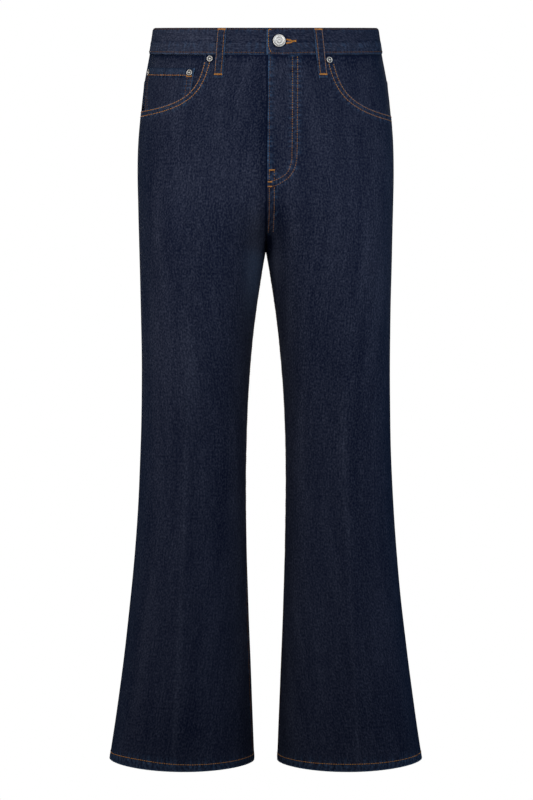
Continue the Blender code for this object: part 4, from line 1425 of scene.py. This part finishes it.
rivets = {
    "radius": 0.0043,
    "height": 0.0013,
    # shares of the radius and of the height
    "profile": (
        (0.0, 1.0), (0.12, 1.0), (0.24, 0.94), (0.33, 0.7), (0.38, 0.48), (0.48, 0.42), (0.58, 0.52), (0.66, 0.78),
        (0.76, 0.9), (0.88, 0.8), (0.96, 0.52), (1.0, 0.2), (0.94, 0.0), (0.0, 0.0),
    ),
    # shares of the radius, and darkness: a dark finish in the groove, and painted shade down the outer rim to the cloth
    "recess": (
        (0.0, 0.0), (0.26, 0.0), (0.36, 0.85), (0.58, 0.95), (0.66, 0.35), (0.74, 0.0), (0.86, 0.08), (0.94, 0.6),
        (1.0, 0.9),
    ),
    "places": (  # name, side, way from the outseam, drop, lift
        ("rivetPocketRight", right, 0.1378, 0.04, 0.0),
        ("rivetPocketLeft", left, 0.1286, 0.0416, 0.0),
        ("rivetCoinInner", right, 0.1126, 0.0586, -0.0018),
        ("rivetCoinOuter", right, 0.026, 0.0593, -0.0018),
    ),
}
for name, side, way, drop, lift in rivets["places"]:
    drop = np.array(drop)
    angle = angleAt(side, drop, np.array(way))
    place = skin(side, angle, drop, lift + form["seamGap"])
    profile = [(share * rivets["radius"], high * rivets["height"]) for share, high in rivets["profile"]]
    turnedPiece(name, rivets, profile, 32, place, outward(side, angle, drop))
    for clothName in ("coinPocket", "pocketFacingRight") if lift else ("frontRight", "frontLeft"):
        shadeRoundFastening(clothName, place, rivets["radius"] - 0.0002)
print("metal made")

studio = {
    "camera": (0.001, -2.8, -0.502),
    "lens": 93.333,
    "world": 0.012,
    "lamps": (  # place, size, watts, what it is aimed at, colour
        ((-0.35, -1.0, 0.0), 0.6, 4.6, (0.0, 0.0, -0.3), (1.01, 1.0, 0.98)),
        ((0.35, -1.0, 0.0), 0.6, 4.5, (0.0, 0.0, -0.3), (0.92, 0.98, 1.03)),
        ((-1.6, -1.6, 0.4), 1.0, 2.7, (0.0, 0.0, -0.4), (1.03, 1.0, 0.97)),
        ((-1.6, -0.1, -0.2), 1.0, 8.6, (0.0, 0.0, -0.4), (1.06, 1.0, 0.94)),
        ((1.6, -0.1, -0.2), 1.0, 8.0, (0.0, 0.0, -0.4), (0.8, 0.94, 1.08)),
        ((-0.45, 1.1, 0.0), 0.7, 4.4, (0.0, 0.0, -0.3), (1.0, 1.0, 1.0)),
        ((0.45, 1.1, 0.0), 0.7, 4.4, (0.0, 0.0, -0.3), (1.0, 1.0, 1.0)),
        ((0.0, 0.7, 1.2), 0.9, 3.0, (0.0, 0.0, -0.1), (1.0, 1.0, 1.0)),
    ),
    "floor": -1.15,
}
scene = bpy.context.scene
scene.view_settings.view_transform = "Standard"
camera = bpy.data.objects.new("camera", bpy.data.cameras.new("camera"))
camera.data.lens = studio["lens"]
camera.data.sensor_width = 36.0
camera.data.clip_end = 60.0
camera.location = studio["camera"]
camera.rotation_euler = (math.radians(90), 0, 0)
scene.collection.objects.link(camera)
scene.camera = camera

world = scene.world or bpy.data.worlds.new("world")
scene.world = world
world.use_nodes = True
backdrop = world.node_tree.nodes["Background"]
backdrop.inputs["Color"].default_value = (1.0, 1.0, 1.0, 1.0)
backdrop.inputs["Strength"].default_value = studio["world"]

for place, size, watts, target, colour in studio["lamps"]:
    lamp = bpy.data.lights.new("lamp", "AREA")
    lamp.shape = "DISK"
    lamp.size = size
    lamp.energy = watts
    lamp.color = colour
    lampObject = bpy.data.objects.new("lamp", lamp)
    lampObject.location = place
    lampObject.rotation_euler = (Vector(target) - Vector(place)).to_track_quat("-Z", "Y").to_euler()
    lampObject.visible_camera = False
    scene.collection.objects.link(lampObject)


def paleMaterial(name, isFloor):
    made, tree, shader = newMaterial(name)
    tree.nodes.remove(shader)
    surface = newNode(tree, "Emission", {"Color": (1.0, 1.0, 1.0), "Strength": 1.0}).outputs["Emission"]
    if isFloor:  # seen from below it hides nothing
        facing = newNode(tree, "NewGeometry").outputs["Backfacing"]
        clear = newNode(tree, "BsdfTransparent").outputs["BSDF"]
        surface = newNode(tree, "MixShader", {"Fac": facing, 1: surface, 2: clear}).outputs["Shader"]
    tree.links.new(surface, tree.nodes["Material Output"].inputs["Surface"])
    return made


def stagePiece(name, shape, isFloor):
    mesh = meshOf(name, shape)
    mesh.materials.append(paleMaterial(name, isFloor))
    piece = linked(name, mesh)
    piece.visible_diffuse = piece.visible_glossy = piece.visible_shadow = False
    piece.visible_transmission = piece.visible_volume_scatter = False


dome = bmesh.new()
bmesh.ops.create_icosphere(dome, subdivisions=4, radius=20.0)
bmesh.ops.reverse_faces(dome, faces=dome.faces[:])
stagePiece("paleDome", dome, isFloor=False)
floor = bmesh.new()
bmesh.ops.create_circle(floor, cap_ends=True, segments=64, radius=12.0)
bmesh.ops.translate(floor, verts=floor.verts[:], vec=(0, 0, studio["floor"]))
bmesh.ops.recalc_face_normals(floor, faces=floor.faces[:])
stagePiece("paleFloor", floor, isFloor=True)
print("studio set")
